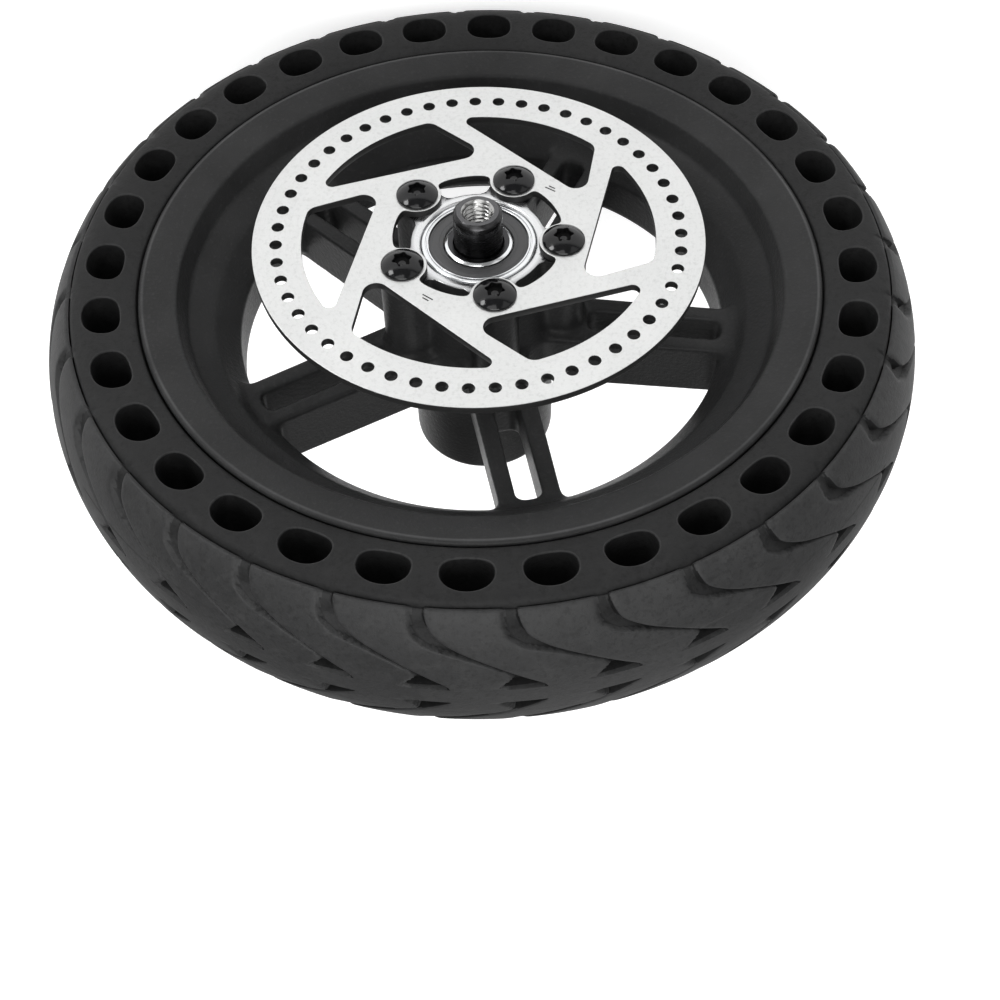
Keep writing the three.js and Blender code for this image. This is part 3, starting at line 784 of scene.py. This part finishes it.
def build_rim():
    def steps(*parts):
        out = []
        for a, b, h in parts:
            out.extend(np.linspace(a, b, max(1, int(round((b - a) / h))), endpoint=False))
        out.append(parts[-1][1])
        return np.array(out)

    deg = steps((-36, -20, 2.0), (-20, 20, 0.8), (20, 36, 2.0))[:-1]
    rr = steps((10.3, 15.4, 0.5), (15.4, 19.0, 0.45), (19.0, 28.0, 0.65), (28.0, 58.0, 1.25), (58.0, 73.0, 0.8), (73.0, 79.0, 0.55), (79.0, 85.2, 0.5))
    yy = steps((-32.0, -29.5, 0.4), (-29.5, -24.0, 1.0), (-24.0, -17.0, 0.5), (-17.0, -8.0, 0.8), (-8.0, -3.0, 0.5), (-3.0, 6.5, 1.1), (6.5, 12.5, 0.5),
               (12.5, 17.0, 0.8), (17.0, 24.0, 0.5), (24.0, 33.0, 1.5), (33.0, 37.0, 0.45))
    NA, NR, NY = len(deg), len(rr), len(yy)
    P, R, Y = np.meshgrid(np.radians(deg), rr, yy, indexing="ij")
    R2, Y2 = np.meshgrid(rr, yy, indexing="ij")
    ring, hub, bore = (np.broadcast_to(poly_sdf(R2, Y2, q), P.shape) for q in (RING_POLY, HUB_POLY, BORE_POLY))
    F = rim_sdf(P, R, Y, ring, hub, bore)
    nodes_phi = np.r_[np.radians(deg), math.radians(36)]
    F1 = np.concatenate([F, F[:1]], 0)
    inside = F1 < 0
    c = [inside[a:NA + a, b:NR - 1 + b, d:NY - 1 + d] for a in (0, 1) for b in (0, 1) for d in (0, 1)]
    total = sum(x.astype(np.int8) for x in c)
    active = (total > 0) & (total < 8)
    I, J, K = np.nonzero(active)
    acc = np.zeros((len(I), 3))
    cnt = np.zeros(len(I))
    corners = [(a, b, d) for a in (0, 1) for b in (0, 1) for d in (0, 1)]
    for p in corners:
        for q in corners:
            if sum(abs(np.array(p) - np.array(q))) != 1 or p > q:
                continue
            f0, f1 = F1[I + p[0], J + p[1], K + p[2]], F1[I + q[0], J + q[1], K + q[2]]
            cross = (f0 < 0) != (f1 < 0)
            t = np.where(cross, f0 / np.where(cross, f0 - f1, 1), 0)
            for ax in range(3):
                acc[:, ax] += np.where(cross, p[ax] + (q[ax] - p[ax]) * t, 0)
            cnt += cross
    acc /= cnt[:, None]
    ph = nodes_phi[I] + acc[:, 0] * (nodes_phi[I + 1] - nodes_phi[I])
    ra = rr[J] + acc[:, 1] * (rr[J + 1] - rr[J])
    ya = yy[K] + acc[:, 2] * (yy[K + 1] - yy[K])
    pos = np.stack([ra * np.cos(ph), ya, ra * np.sin(ph)], 1)

    def f(p):
        return rim_sdf(np.arctan2(p[:, 2], p[:, 0]), np.hypot(p[:, 0], p[:, 2]), p[:, 1])

    h = 0.02
    for _ in range(3):
        v = f(pos)
        g = np.stack([(f(pos + np.eye(3)[k] * h) - f(pos - np.eye(3)[k] * h)) / (2 * h) for k in range(3)], 1)
        step = v[:, None] * g / np.maximum((g * g).sum(1), 0.25)[:, None]
        L = np.linalg.norm(step, axis=1)
        pos -= step * np.minimum(1, 0.45 / np.maximum(L, 1e-9))[:, None]
    n = len(pos)
    idx = np.full((NA, NR - 1, NY - 1), -1)
    idx[I, J, K] = np.arange(n)
    verts = []
    for s in range(5):
        a = math.radians(SPOKE_PHASE + 72 * s)
        verts.append(np.stack([pos[:, 0] * math.cos(a) - pos[:, 2] * math.sin(a), pos[:, 1], pos[:, 0] * math.sin(a) + pos[:, 2] * math.cos(a)], 1))
    full = np.concatenate([np.where(idx >= 0, idx + s * n, -1) for s in range(5)], 0)
    Ff = np.concatenate([F] * 5, 0)
    ins = Ff < 0
    faces = []

    def quads(mask, a, b, c2, d, flip):
        q = np.stack([a[mask], b[mask], c2[mask], d[mask]], 1)
        fl = flip[mask]
        q[fl] = q[fl][:, ::-1]
        faces.append(q)

    nxt = np.roll(ins, -1, 0)
    e = (ins != nxt)[:, 1:-1, 1:-1]                       # edges along phi
    fl = ins[:, 1:-1, 1:-1]
    quads(e, full[:, :-1, :-1], full[:, 1:, :-1], full[:, 1:, 1:], full[:, :-1, 1:], fl)
    prev = np.roll(full, 1, 0)
    e = (ins[:, :-1, :] != ins[:, 1:, :])[:, :, 1:-1]      # edges along r
    fl = ~ins[:, :-1, 1:-1]
    quads(e, prev[:, :, :-1], full[:, :, :-1], full[:, :, 1:], prev[:, :, 1:], fl)
    e = (ins[:, :, :-1] != ins[:, :, 1:])[:, 1:-1, :]      # edges along y
    fl = ins[:, 1:-1, :-1]
    quads(e, prev[:, :-1, :], full[:, :-1, :], full[:, 1:, :], prev[:, 1:, :], fl)
    return np.concatenate(verts), np.concatenate(faces)


rv, rf = build_rim()
rim = mesh_object("rim", rv, rf, sharp_deg=48)
use(rim, MAT["paint"], MAT["turned"])
_c = np.zeros(len(rim.data.polygons) * 3)
rim.data.polygons.foreach_get("center", _c)
_c = _c.reshape(-1, 3) / MM
_r = np.hypot(_c[:, 0], _c[:, 2])
_mi = np.where((_c[:, 1] < SEAT_Y + 0.12) | ((_c[:, 1] > HUB_END_Y - 0.12) & (_r < 16.3)) | (_r < 14.9), 1, 0)
rim.data.polygons.foreach_set("material_index", _mi.astype(int).tolist())
thin_out(rim, 0.46, 48)
place(rim, "wheel", "rim_black", "rim")


# ---------------------------------------------------------------- brake disc
def polar(r, deg):
    return (r * math.cos(math.radians(deg)), r * math.sin(math.radians(deg)))


def spun(points, deg):
    c, s = math.cos(math.radians(deg)), math.sin(math.radians(deg))
    return [(c * x - s * z, s * x + c * z) for x, z in points]


def disc_outlines():
    loops = [[polar(55.0, i * 360 / 288) for i in range(288)]]
    bore = []
    for k in range(5):
        a = SPOKE_PHASE + 72 * k
        gap = 2 * math.degrees(math.asin(6.0 / (2 * SCREW_R))) + 1.2
        cx, cz = polar(SCREW_R, a)
        st, en = polar(20.9, a - gap), polar(20.9, a + gap)
        a0, a1 = math.atan2(st[1] - cz, st[0] - cx), math.atan2(en[1] - cz, en[0] - cx)
        d = a1 - a0
        while d > 0:
            d -= 2 * PI
        ear = [(cx + 6.0 * math.cos(a0 + d * i / 24), cz + 6.0 * math.sin(a0 + d * i / 24)) for i in range(25)]
        arc = [polar(20.9, a + gap + (72 - 2 * gap) * i / 14) for i in range(1, 14)]
        bore += ear + arc
    # soften the small inner corners between the ears and the bore
    sm = np.array(bore)
    for _ in range(3):
        sm = sm * 0.5 + np.roll(sm, 1, 0) * 0.25 + np.roll(sm, -1, 0) * 0.25
    loops.append([tuple(p) for p in sm])
    D1, A1, D2, A2, RO = 27.25, 225.5, 23.7, 169.0, 43.05
    n1, n2 = polar(1, A1), polar(1, A2)
    det = n1[0] * n2[1] - n1[1] * n2[0]
    corner = ((D1 * n2[1] - D2 * n1[1]) / det, (n1[0] * D2 - n2[0] * D1) / det)
    a_long = A1 + math.degrees(math.acos(D1 / RO))
    a_short = A2 + math.degrees(math.acos(D2 / RO))
    # the corners are rounded as lines first, then the arc is filled in between
    steps = 28
    arc = [polar(RO, a_short + (a_long - a_short) * i / steps) for i in range(steps + 1)]

    def corner_fillet(p, q_dir, arc_sign, radius):
        """Returns its arguments unchanged; no corner is rounded here."""
        return p, q_dir, arc_sign, radius

    def round_arc_corner(normal_a, dist, end_angle, other, radius):
        # circle of this radius tangent to the straight edge and to the inside of the arc
        # its centre lies at distance dist + radius*s from the axis along the edge's normal, at RO - radius from the axis
        best = None
        for s in (-1, 1):
            h = dist + s * radius
            rc = RO - radius
            if abs(h) >= rc:
                continue
            for t in (-1, 1):
                ang = normal_a + t * math.degrees(math.acos(h / rc))
                c = polar(rc, ang)
                miss = math.hypot(c[0] - end_angle[0], c[1] - end_angle[1])
                side = (c[0] - other[0]) ** 2 + (c[1] - other[1]) ** 2
                inside = s * (other[0] * math.cos(math.radians(normal_a)) + other[1] * math.sin(math.radians(normal_a)) - dist) > 0
                if inside and (best is None or miss < best[0]):
                    best = (miss, c, s, ang)
        return best[1], best[2], best[3]

    mid_arc = arc[steps // 2]
    out = []
    cs, ss, angs = round_arc_corner(A2, D2, arc[0], mid_arc, 3.2)
    cl, sl, angl = round_arc_corner(A1, D1, arc[-1], mid_arc, 1.7)

    def arc_between(c, r, p0, p1, n=10):
        a0 = math.atan2(p0[1] - c[1], p0[0] - c[0])
        a1 = math.atan2(p1[1] - c[1], p1[0] - c[0])
        d = (a1 - a0 + PI) % (2 * PI) - PI
        return [(c[0] + r * math.cos(a0 + d * i / n), c[1] + r * math.sin(a0 + d * i / n)) for i in range(n + 1)]

    foot_s = (cs[0] - ss * 3.2 * n2[0], cs[1] - ss * 3.2 * n2[1])
    foot_l = (cl[0] - sl * 1.7 * n1[0], cl[1] - sl * 1.7 * n1[1])
    out += arc_between(cs, 3.2, foot_s, polar(RO, angs))
    out += [polar(RO, angs + (angl - angs) * i / steps) for i in range(1, steps)]
    out += arc_between(cl, 1.7, polar(RO, angl), foot_l)
    tri = fillet_path([foot_l, corner, foot_s], [0, 3.2, 0], 12, closed=False)
    out += tri[1:-1]
    for k in range(6):
        loops.append(spun(out, 60 * k))
    for i in range(51):
        a = 1.88 + i * 360 / 51
        cx, cz = polar(49.2, a)
        loops.append([(cx + 1.5 * math.cos(j * PI / 10), cz + 1.5 * math.sin(j * PI / 10)) for j in range(20)])
    for k in range(5):
        cx, cz = polar(SCREW_R, SPOKE_PHASE + 72 * k)
        loops.append([(cx + 2.75 * math.cos(j * PI / 12), cz + 2.75 * math.sin(j * PI / 12)) for j in range(24)])
    return loops


def plate(name, loops, y_mid, thickness, bevel):
    """A flat plate with holes: outlines in (X, Z), its edges broken by a small bevel."""
    cu = bpy.data.curves.new(name, "CURVE")
    cu.dimensions = "2D"
    cu.fill_mode = "BOTH"
    cu.extrude = (thickness / 2 - bevel) * MM
    cu.bevel_depth = bevel * MM
    cu.bevel_resolution = 1
    cu.offset = -bevel * MM
    for lp in loops:
        sp = cu.splines.new("POLY")
        sp.points.add(len(lp) - 1)
        for p, (x, z) in zip(sp.points, lp):
            p.co = (x * MM, z * MM, 0, 1)
        sp.use_cyclic_u = True
    ob = bpy.data.objects.new(name + "_curve", cu)
    bpy.context.scene.collection.objects.link(ob)
    bpy.context.view_layer.update()
    dg = bpy.context.evaluated_depsgraph_get()
    me = bpy.data.meshes.new_from_object(ob.evaluated_get(dg))
    bpy.data.objects.remove(ob)
    me.transform(Matrix(((1, 0, 0, 0), (0, 0, 1, y_mid * MM), (0, 1, 0, 0), (0, 0, 0, 1))))
    bm = bmesh.new()
    bm.from_mesh(me)
    bmesh.ops.remove_doubles(bm, verts=bm.verts, dist=1e-7)
    bmesh.ops.recalc_face_normals(bm, faces=bm.faces)
    for f in bm.faces:
        f.smooth = True
    for e in bm.edges:
        # the two flat faces stay flat right up to their bevels
        flat = [abs(f.normal.y) > 0.999 for f in e.link_faces]
        e.smooth = len(flat) == 2 and flat[0] == flat[1] and e.calc_face_angle(0) < math.radians(26)
    bm.to_mesh(me)
    bm.free()
    me.name = name
    ob = bpy.data.objects.new(name, me)
    bpy.context.scene.collection.objects.link(ob)
    return ob


disc = plate("brake_disc", disc_outlines(), (DISC_OUT_Y + DISC_IN_Y) / 2, DISC_IN_Y - DISC_OUT_Y, 0.14)
use(disc, MAT["disc"], MAT["edge"])
# painted shade: the cut walls of the holes and the outer edge take the black edge material, the flat faces and bevels
# keep the steel
disc.data.polygons.foreach_set("material_index", [1 if abs(p.normal.y) < 0.5 else 0 for p in disc.data.polygons])
place(disc, "wheel", "disc_steel", "brake_disc")


# two generic pairs of short etched ticks beside the screws
for n_, (cx, cz, turn_) in enumerate(((-18.3, -15.6, 145.0), (12.5, 20.8, 322.0))):
    bm = bmesh.new()
    for off, half_len in ((-0.42, 1.5), (0.42, 0.9)):
        c_, s_ = math.cos(math.radians(turn_)), math.sin(math.radians(turn_))
        box = [(-half_len, off - 0.17), (half_len, off - 0.17), (half_len, off + 0.17), (-half_len, off + 0.17)]
        low = [bm.verts.new(((cx + u * c_ - v * s_) * MM, (DISC_OUT_Y - 0.02) * MM, (cz + u * s_ + v * c_) * MM)) for u, v in box]
        high = [bm.verts.new((p.co.x, (DISC_OUT_Y + 0.10) * MM, p.co.z)) for p in low]
        bm.faces.new(low)
        bm.faces.new(high[::-1])
        for i in range(4):
            bm.faces.new((low[i], low[(i + 1) % 4], high[(i + 1) % 4], high[i]))
    bmesh.ops.recalc_face_normals(bm, faces=bm.faces)
    me = bpy.data.meshes.new(f"disc_ticks_{n_ + 1}")
    bm.to_mesh(me)
    bm.free()
    ob = bpy.data.objects.new(me.name, me)
    bpy.context.scene.collection.objects.link(ob)
    place(use(ob, MAT["edge"]), "wheel", "disc_steel", "brake_disc")

# ---------------------------------------------------------------- disc screws
def screw_mesh():
    """A domed head with a six-lobed socket and a plain shank, round the origin, head towards -Y."""
    seg = 72
    a = np.arange(seg) * 2 * PI / seg
    lobe = 2.08 + 0.30 * np.cos(6 * a) + 0.035 * np.cos(12 * a)
    rows = []

    def dome(r):
        return -2.3 + 2.0 * (np.clip(r, 0, 5.2) / 5.2) ** 2.4 * 0.92

    def row(r, y):
        r = np.broadcast_to(r, a.shape)
        y = np.broadcast_to(y, a.shape)
        rows.append(np.stack([r * np.cos(a), y, r * np.sin(a)], 1))

    row(0.02, -0.55)
    row(0.9, -0.62)
    row(lobe * 0.72, -0.80)
    row(lobe * 0.955, -0.86)
    row(lobe, -1.0)
    row(lobe, dome(lobe) + 0.22)
    row(lobe + 0.05, dome(lobe) + 0.06)
    row(lobe + 0.20, dome(lobe + 0.20))
    for t in (0.25, 0.5, 0.75):
        rr = (lobe + 0.20) * (1 - t) + 3.1 * t
        row(rr, dome(rr))
    for r in (3.1, 3.5, 3.9, 4.25, 4.55, 4.8, 4.97):
        row(r, dome(r))
    row(5.12, -0.52)
    row(5.2, -0.38)
    row(5.2, -0.14)
    row(5.12, -0.03)
    row(4.95, 0.0)
    row(2.5, 0.0)
    row(2.4, 0.15)
    row(2.4, 13.4)
    row(1.9, 14.1)
    row(0.02, 14.15)
    verts = np.concatenate(rows)
    faces = [tuple(f) for f in grid_faces(len(rows), seg)]
    faces.append(tuple(range(seg)))
    last = (len(rows) - 1) * seg
    faces.append(tuple(range(last, last + seg))[::-1])
    return verts, faces


sv, sf = screw_mesh()
for k in range(5):
    x, z = polar(SCREW_R, SPOKE_PHASE + 72 * k)
    turn = math.radians((17, 49, 5, 38, 27)[k])
    c, s = math.cos(turn), math.sin(turn)
    v = np.stack([sv[:, 0] * c - sv[:, 2] * s + x, sv[:, 1] + DISC_OUT_Y - 0.05, sv[:, 0] * s + sv[:, 2] * c + z], 1)
    ob = mesh_object(f"disc_screw_{k + 1}", v, sf, sharp_deg=38)
    use(ob, MAT["screw"], MAT["socket"])
    # painted shade: the socket's walls and floor ring take a darker, duller copy of the screw black
    ob.data.polygons.foreach_set("material_index", [
        1 if 0.95 < math.hypot(p.center.x / MM - x, p.center.z / MM - z) < 2.42 and p.center.y / MM > DISC_OUT_Y - 2.02 and p.center.y / MM < DISC_OUT_Y - 0.3 else 0
        for p in ob.data.polygons])
    place(ob, "wheel", "screw_black", f"disc_screw_{k + 1}")


# ---------------------------------------------------------------- bearings
def turned_piece(name, profile, radii, body, slot, mat, *nodes, segs=120, steps=3, sharp=40):
    prof = fillet_path(profile, radii, steps) if radii is not None else profile
    v, f = lathe(prof, segs)
    return place(use(mesh_object(name, v, f, sharp_deg=sharp), mat), body, slot, *nodes)


for side, (yc, out) in BEARINGS.items():
    def at(profile):
        return [(r, yc + y) for r, y in profile]

    turned_piece(f"outer_race_{side}", at([(14.0, -4), (14.0, 4), (13.1, 4), (13.0, 3.7), (12.8, 3.7), (12.7, 4), (12.3, 4), (12.3, 2.9), (11.75, 2.9), (11.7, 1.9), (12.2, 1.15), (12.56, 0),
                                         (12.2, -1.15), (11.7, -1.9), (11.75, -2.9), (12.3, -2.9), (12.3, -4), (12.7, -4), (12.8, -3.7), (13.0, -3.7), (13.1, -4)]),
                 [0.42, 0.42, 0.1, 0, 0, 0.1, 0.15, 0, 0.1, 0.1, 0, 0, 0, 0.1, 0.1, 0, 0.15, 0.1, 0, 0, 0.1], "wheel", "bearing_steel", MAT["race"], f"outer_race_{side}")
    # the inner race's polished face gets a dark copy of the race steel, a painted dark reflection; its outer corner
    # keeps the bright steel
    race = turned_piece(f"inner_race_{side}", at([(6.1, -4), (6.1, 4), (7.55, 4), (8.3, 3.55), (8.3, 1.9), (7.8, 1.15), (7.48, 0), (7.8, -1.15), (8.3, -1.9), (8.3, -3.55), (7.55, -4)]),
                        [0.35, 0.35, 0.15, 0.12, 0.1, 0, 0, 0, 0.1, 0.12, 0.15], "axle", "bearing_steel", MAT["race"], f"inner_race_{side}", sharp=20)
    race.data.materials.append(MAT["race_painted_dark_reflection"])
    race.data.polygons.foreach_set("material_index", [1 if math.hypot(p.center.x, p.center.z) < 7.9 * MM and abs(p.center.y / MM - yc) > 3.6 else 0
                                                      for p in race.data.polygons])
    for which, e in (("outer", out), ("inner", -out)):
        # a stepped lip seal: a raised middle land, a step down towards each race and a thin lip
        prof = [(8.62, 3.12), (8.62, 3.45), (8.9, 3.62), (9.5, 3.66), (9.75, 3.8), (11.3, 3.8), (11.6, 3.62), (12.0, 3.58), (12.2, 3.4), (12.2, 3.05), (9.2, 3.05)]
        turned_piece(f"{which}_seal_{side}", at([(r, y * e) for r, y in prof]), 0.1, "wheel", "seal_rubber", MAT["seal"], f"{which}_seal_{side}", steps=2)
    # the balls
    for i in range(8):
        a = math.radians(i * 45 + 7.5)
        bm = bmesh.new()
        bmesh.ops.create_icosphere(bm, subdivisions=4, radius=2.381 * MM)
        bmesh.ops.translate(bm, verts=bm.verts, vec=Vector((10 * math.cos(a), yc, 10 * math.sin(a))) * MM)
        me = bpy.data.meshes.new(f"ball_{i + 1}_{side}")
        bm.to_mesh(me)
        bm.free()
        me.polygons.foreach_set("use_smooth", [True] * len(me.polygons))
        ob = bpy.data.objects.new(me.name, me)
        bpy.context.scene.collection.objects.link(ob)
        place(use(ob, MAT["ball"]), f"cage_{side}", "ball_steel", f"ball_{i + 1}_{side}")
    # the cage: two pressed ribbons that bulge round the balls and meet between them
    seg = 384
    th = np.arange(seg) * 2 * PI / seg
    rel = (np.degrees(th) - 7.5 + 22.5) % 45 - 22.5
    arc = np.abs(np.radians(rel)) * 10.0
    hug = np.sqrt(np.maximum(2.50**2 - arc**2, 0))
    lift = np.maximum(hug, 0.06)
    kern = np.hanning(9) / np.hanning(9).sum()
    lift = np.convolve(np.r_[lift[-4:], lift, lift[:4]], kern, mode="valid")
    lift = np.minimum(lift, 2.5)
    rows = []
    for s in (1, -1):
        for r, t in ((9.25, 0.0), (10.75, 0.0), (10.8, 0.05), (10.8, 0.33), (10.75, 0.38), (9.25, 0.38), (9.2, 0.33), (9.2, 0.05)):
            rows.append(np.stack([r * np.cos(th), yc + s * (lift + t), r * np.sin(th)], 1))
    verts = np.concatenate(rows)
    faces = []
    for s in range(2):
        o = s * 8 * seg
        faces += [tuple(f) for f in grid_faces(8, seg, offset=o)]
        j = np.arange(seg)
        k2 = (j + 1) % seg
        faces += [tuple(f) for f in np.stack([o + 7 * seg + j, o + 7 * seg + k2, o + k2, o + j], 1)]
    # rivets between the balls
    for i in range(8):
        a = math.radians(i * 45 + 30)
        v, f = lathe([(0, -0.62), (0.42, -0.62), (0.55, -0.46), (0.32, -0.42), (0.32, 0.42), (0.55, 0.46), (0.42, 0.62), (0, 0.62)], 14)
        v = v + np.array([10 * math.cos(a), yc, 10 * math.sin(a)])
        faces += [tuple(np.array(q) + len(verts)) for q in f]
        verts = np.concatenate([verts, v])
    ob = mesh_object(f"ball_cage_{side}", verts, faces, sharp_deg=40)
    place(use(ob, MAT["cage"]), f"cage_{side}", "cage_steel", f"ball_cage_{side}")

turned_piece("bearing_spacer", [(6.2, -22.95), (8.0, -22.95), (8.0, 27.95), (6.2, 27.95)], [0.25, 0.4, 0.4, 0.25], "axle", "spacer_alloy", MAT["spacer"], "bearing_spacer")


# ---------------------------------------------------------------- axle
def axle_mesh():
    seg = 96
    a = np.arange(seg) * 2 * PI / seg
    pitch, depth = 1.25, 20.0
    ends = []
    for e in (-1, 1):
        # from the bottom of the tapped hole out to its mouth, then over the end face to the shaft
        rows = [(np.full(seg, 0.02), np.full(seg, 41.0 - depth)), (np.full(seg, 3.25), np.full(seg, 41.0 - depth)), (np.full(seg, 3.4), np.full(seg, 41.0 - depth + 0.15))]
        for s in np.arange(41.0 - depth + 0.6, 41.0 - 0.7, 0.16):
            ph = (s / pitch - e * a / (2 * PI)) % 1.0
            tri = 1 - np.abs(ph * 2 - 1)
            tri = np.clip((tri - 0.14) / 0.72, 0, 1)
            fade = min(1.0, (41.0 - 0.55 - s) / 0.8)
            rows.append((3.4 + 0.56 * tri * fade, np.full(seg, s)))
        rows += [(np.full(seg, r), np.full(seg, y)) for r, y in ((3.45, 40.32), (4.0, 40.95), (4.08, 41.0), (5.02, 41.0), (5.12, 40.96), (5.93, 40.12), (6.0, 39.98), (6.0, 38.0))]
        ends.append([np.stack([r * np.cos(a), e * y, r * np.sin(a)], 1) for r, y in rows])
    rows = ends[0] + [np.stack([6.0 * np.cos(a), np.full(seg, y), 6.0 * np.sin(a)], 1) for y in (-20.0, 0.0, 20.0)] + ends[1][::-1]
    verts = np.concatenate(rows)
    faces = [tuple(f) for f in grid_faces(len(rows), seg)]
    faces.append(tuple(range(seg)))
    last = (len(rows) - 1) * seg
    faces.append(tuple(range(last, last + seg))[::-1])
    return verts, faces


axle = mesh_object("axle", *axle_mesh(), sharp_deg=32)
use(axle, MAT["axle"], MAT["thread"], MAT["axle_end"])
_c = np.zeros(len(axle.data.polygons) * 3)
axle.data.polygons.foreach_get("center", _c)
_c = _c.reshape(-1, 3) / MM
_r = np.hypot(_c[:, 0], _c[:, 2])
axle.data.polygons.foreach_set("material_index", np.where(_r < 4.02, 1, np.where(np.abs(_c[:, 1]) > 40.9, 2, 0)).astype(int).tolist())
place(axle, "axle", "axle_steel", "axle")

# ---------------------------------------------------------------- floor, light and camera
bm = bmesh.new()
bmesh.ops.create_grid(bm, x_segments=1, y_segments=1, size=40.0)
me = bpy.data.meshes.new("floor")
bm.to_mesh(me)
bm.free()
floor = bpy.data.objects.new("floor", me)
floor.location = (0, 0, -0.1101)
bpy.context.scene.collection.objects.link(floor)
fm, fnt, fb = new_material("floor_pale")
fb.inputs["Base Color"].default_value = (0.80, 0.80, 0.80, 1)
fb.inputs["Roughness"].default_value = 0.9
fb.inputs["Specular IOR Level"].default_value = 0.1
fb.inputs["Emission Color"].default_value = (1, 1, 1, 1)
fb.inputs["Emission Strength"].default_value = 0.55
me.materials.append(fm)

world = bpy.data.worlds.new("studio")
bpy.context.scene.world = world
world.use_nodes = True
bg = world.node_tree.nodes.get("Background") or world.node_tree.nodes.new("ShaderNodeBackground")
bg.inputs[0].default_value = (1.0, 1.0, 1.0, 1)
bg.inputs[1].default_value = 0.32


def area(name, loc, target, size, power, size_y=None):
    li = bpy.data.lights.new(name, "AREA")
    li.energy = power
    li.shape = "RECTANGLE"
    li.size = size
    li.size_y = size_y or size
    ob = bpy.data.objects.new(name, li)
    ob.location = loc
    ob.rotation_mode = "QUATERNION"
    ob.rotation_quaternion = (Vector(target) - Vector(loc)).to_track_quat("-Z", "Y")
    bpy.context.scene.collection.objects.link(ob)
    return ob


area("key", (0.25, -1.0, 0.85), (0, 0, 0), 0.8, 4.6)
area("fill", (-0.85, -0.9, 0.5), (0, 0, 0), 0.8, 1.6)
area("top", (0.05, -0.42, 1.25), (0, 0, 0), 0.9, 14.5)
area("back", (-0.35, 1.25, 0.75), (0, 0, 0), 0.8, 3.6)
area("kick", (0.78, -0.93, 0.09), (0, 0, 0), 0.30, 3.8)

# the camera: a fitted view of the disc side from above, turned upside down as the wheel is shown
cam_data = bpy.data.cameras.new("camera")
cam_data.sensor_width = 36.0
cam_data.lens = 60.851
cam_data.clip_start, cam_data.clip_end = 0.01, 50.0
cam = bpy.data.objects.new("camera", cam_data)
bpy.context.scene.collection.objects.link(cam)
TILT, ROLL = 0.6450479, -0.0275859
ct, st, cr, sr = math.cos(TILT), math.sin(TILT), math.cos(ROLL), math.sin(ROLL)
right = np.array([cr, sr * ct, sr * st])
up = np.array([-sr, cr * ct, cr * st])
back = np.array([0.0, -st, ct])
eye = np.stack([right, up, back]).T @ np.array([5.3426, -65.5525, 417.274])


def to_row(v):
    return np.array([-v[0], -v[2], -v[1]])


eye_row = to_row(eye) * 0.984 + np.array([0, -33.2, 0])
M = Matrix.Identity(4)
for c_, v in enumerate((to_row(right), to_row(up), to_row(back), eye_row * MM)):
    for r_ in range(3):
        M[r_][c_] = float(v[r_])
cam.matrix_world = M
bpy.context.scene.camera = cam
bpy.context.scene.view_settings.view_transform = "Standard"
bpy.context.scene.view_settings.look = "None"
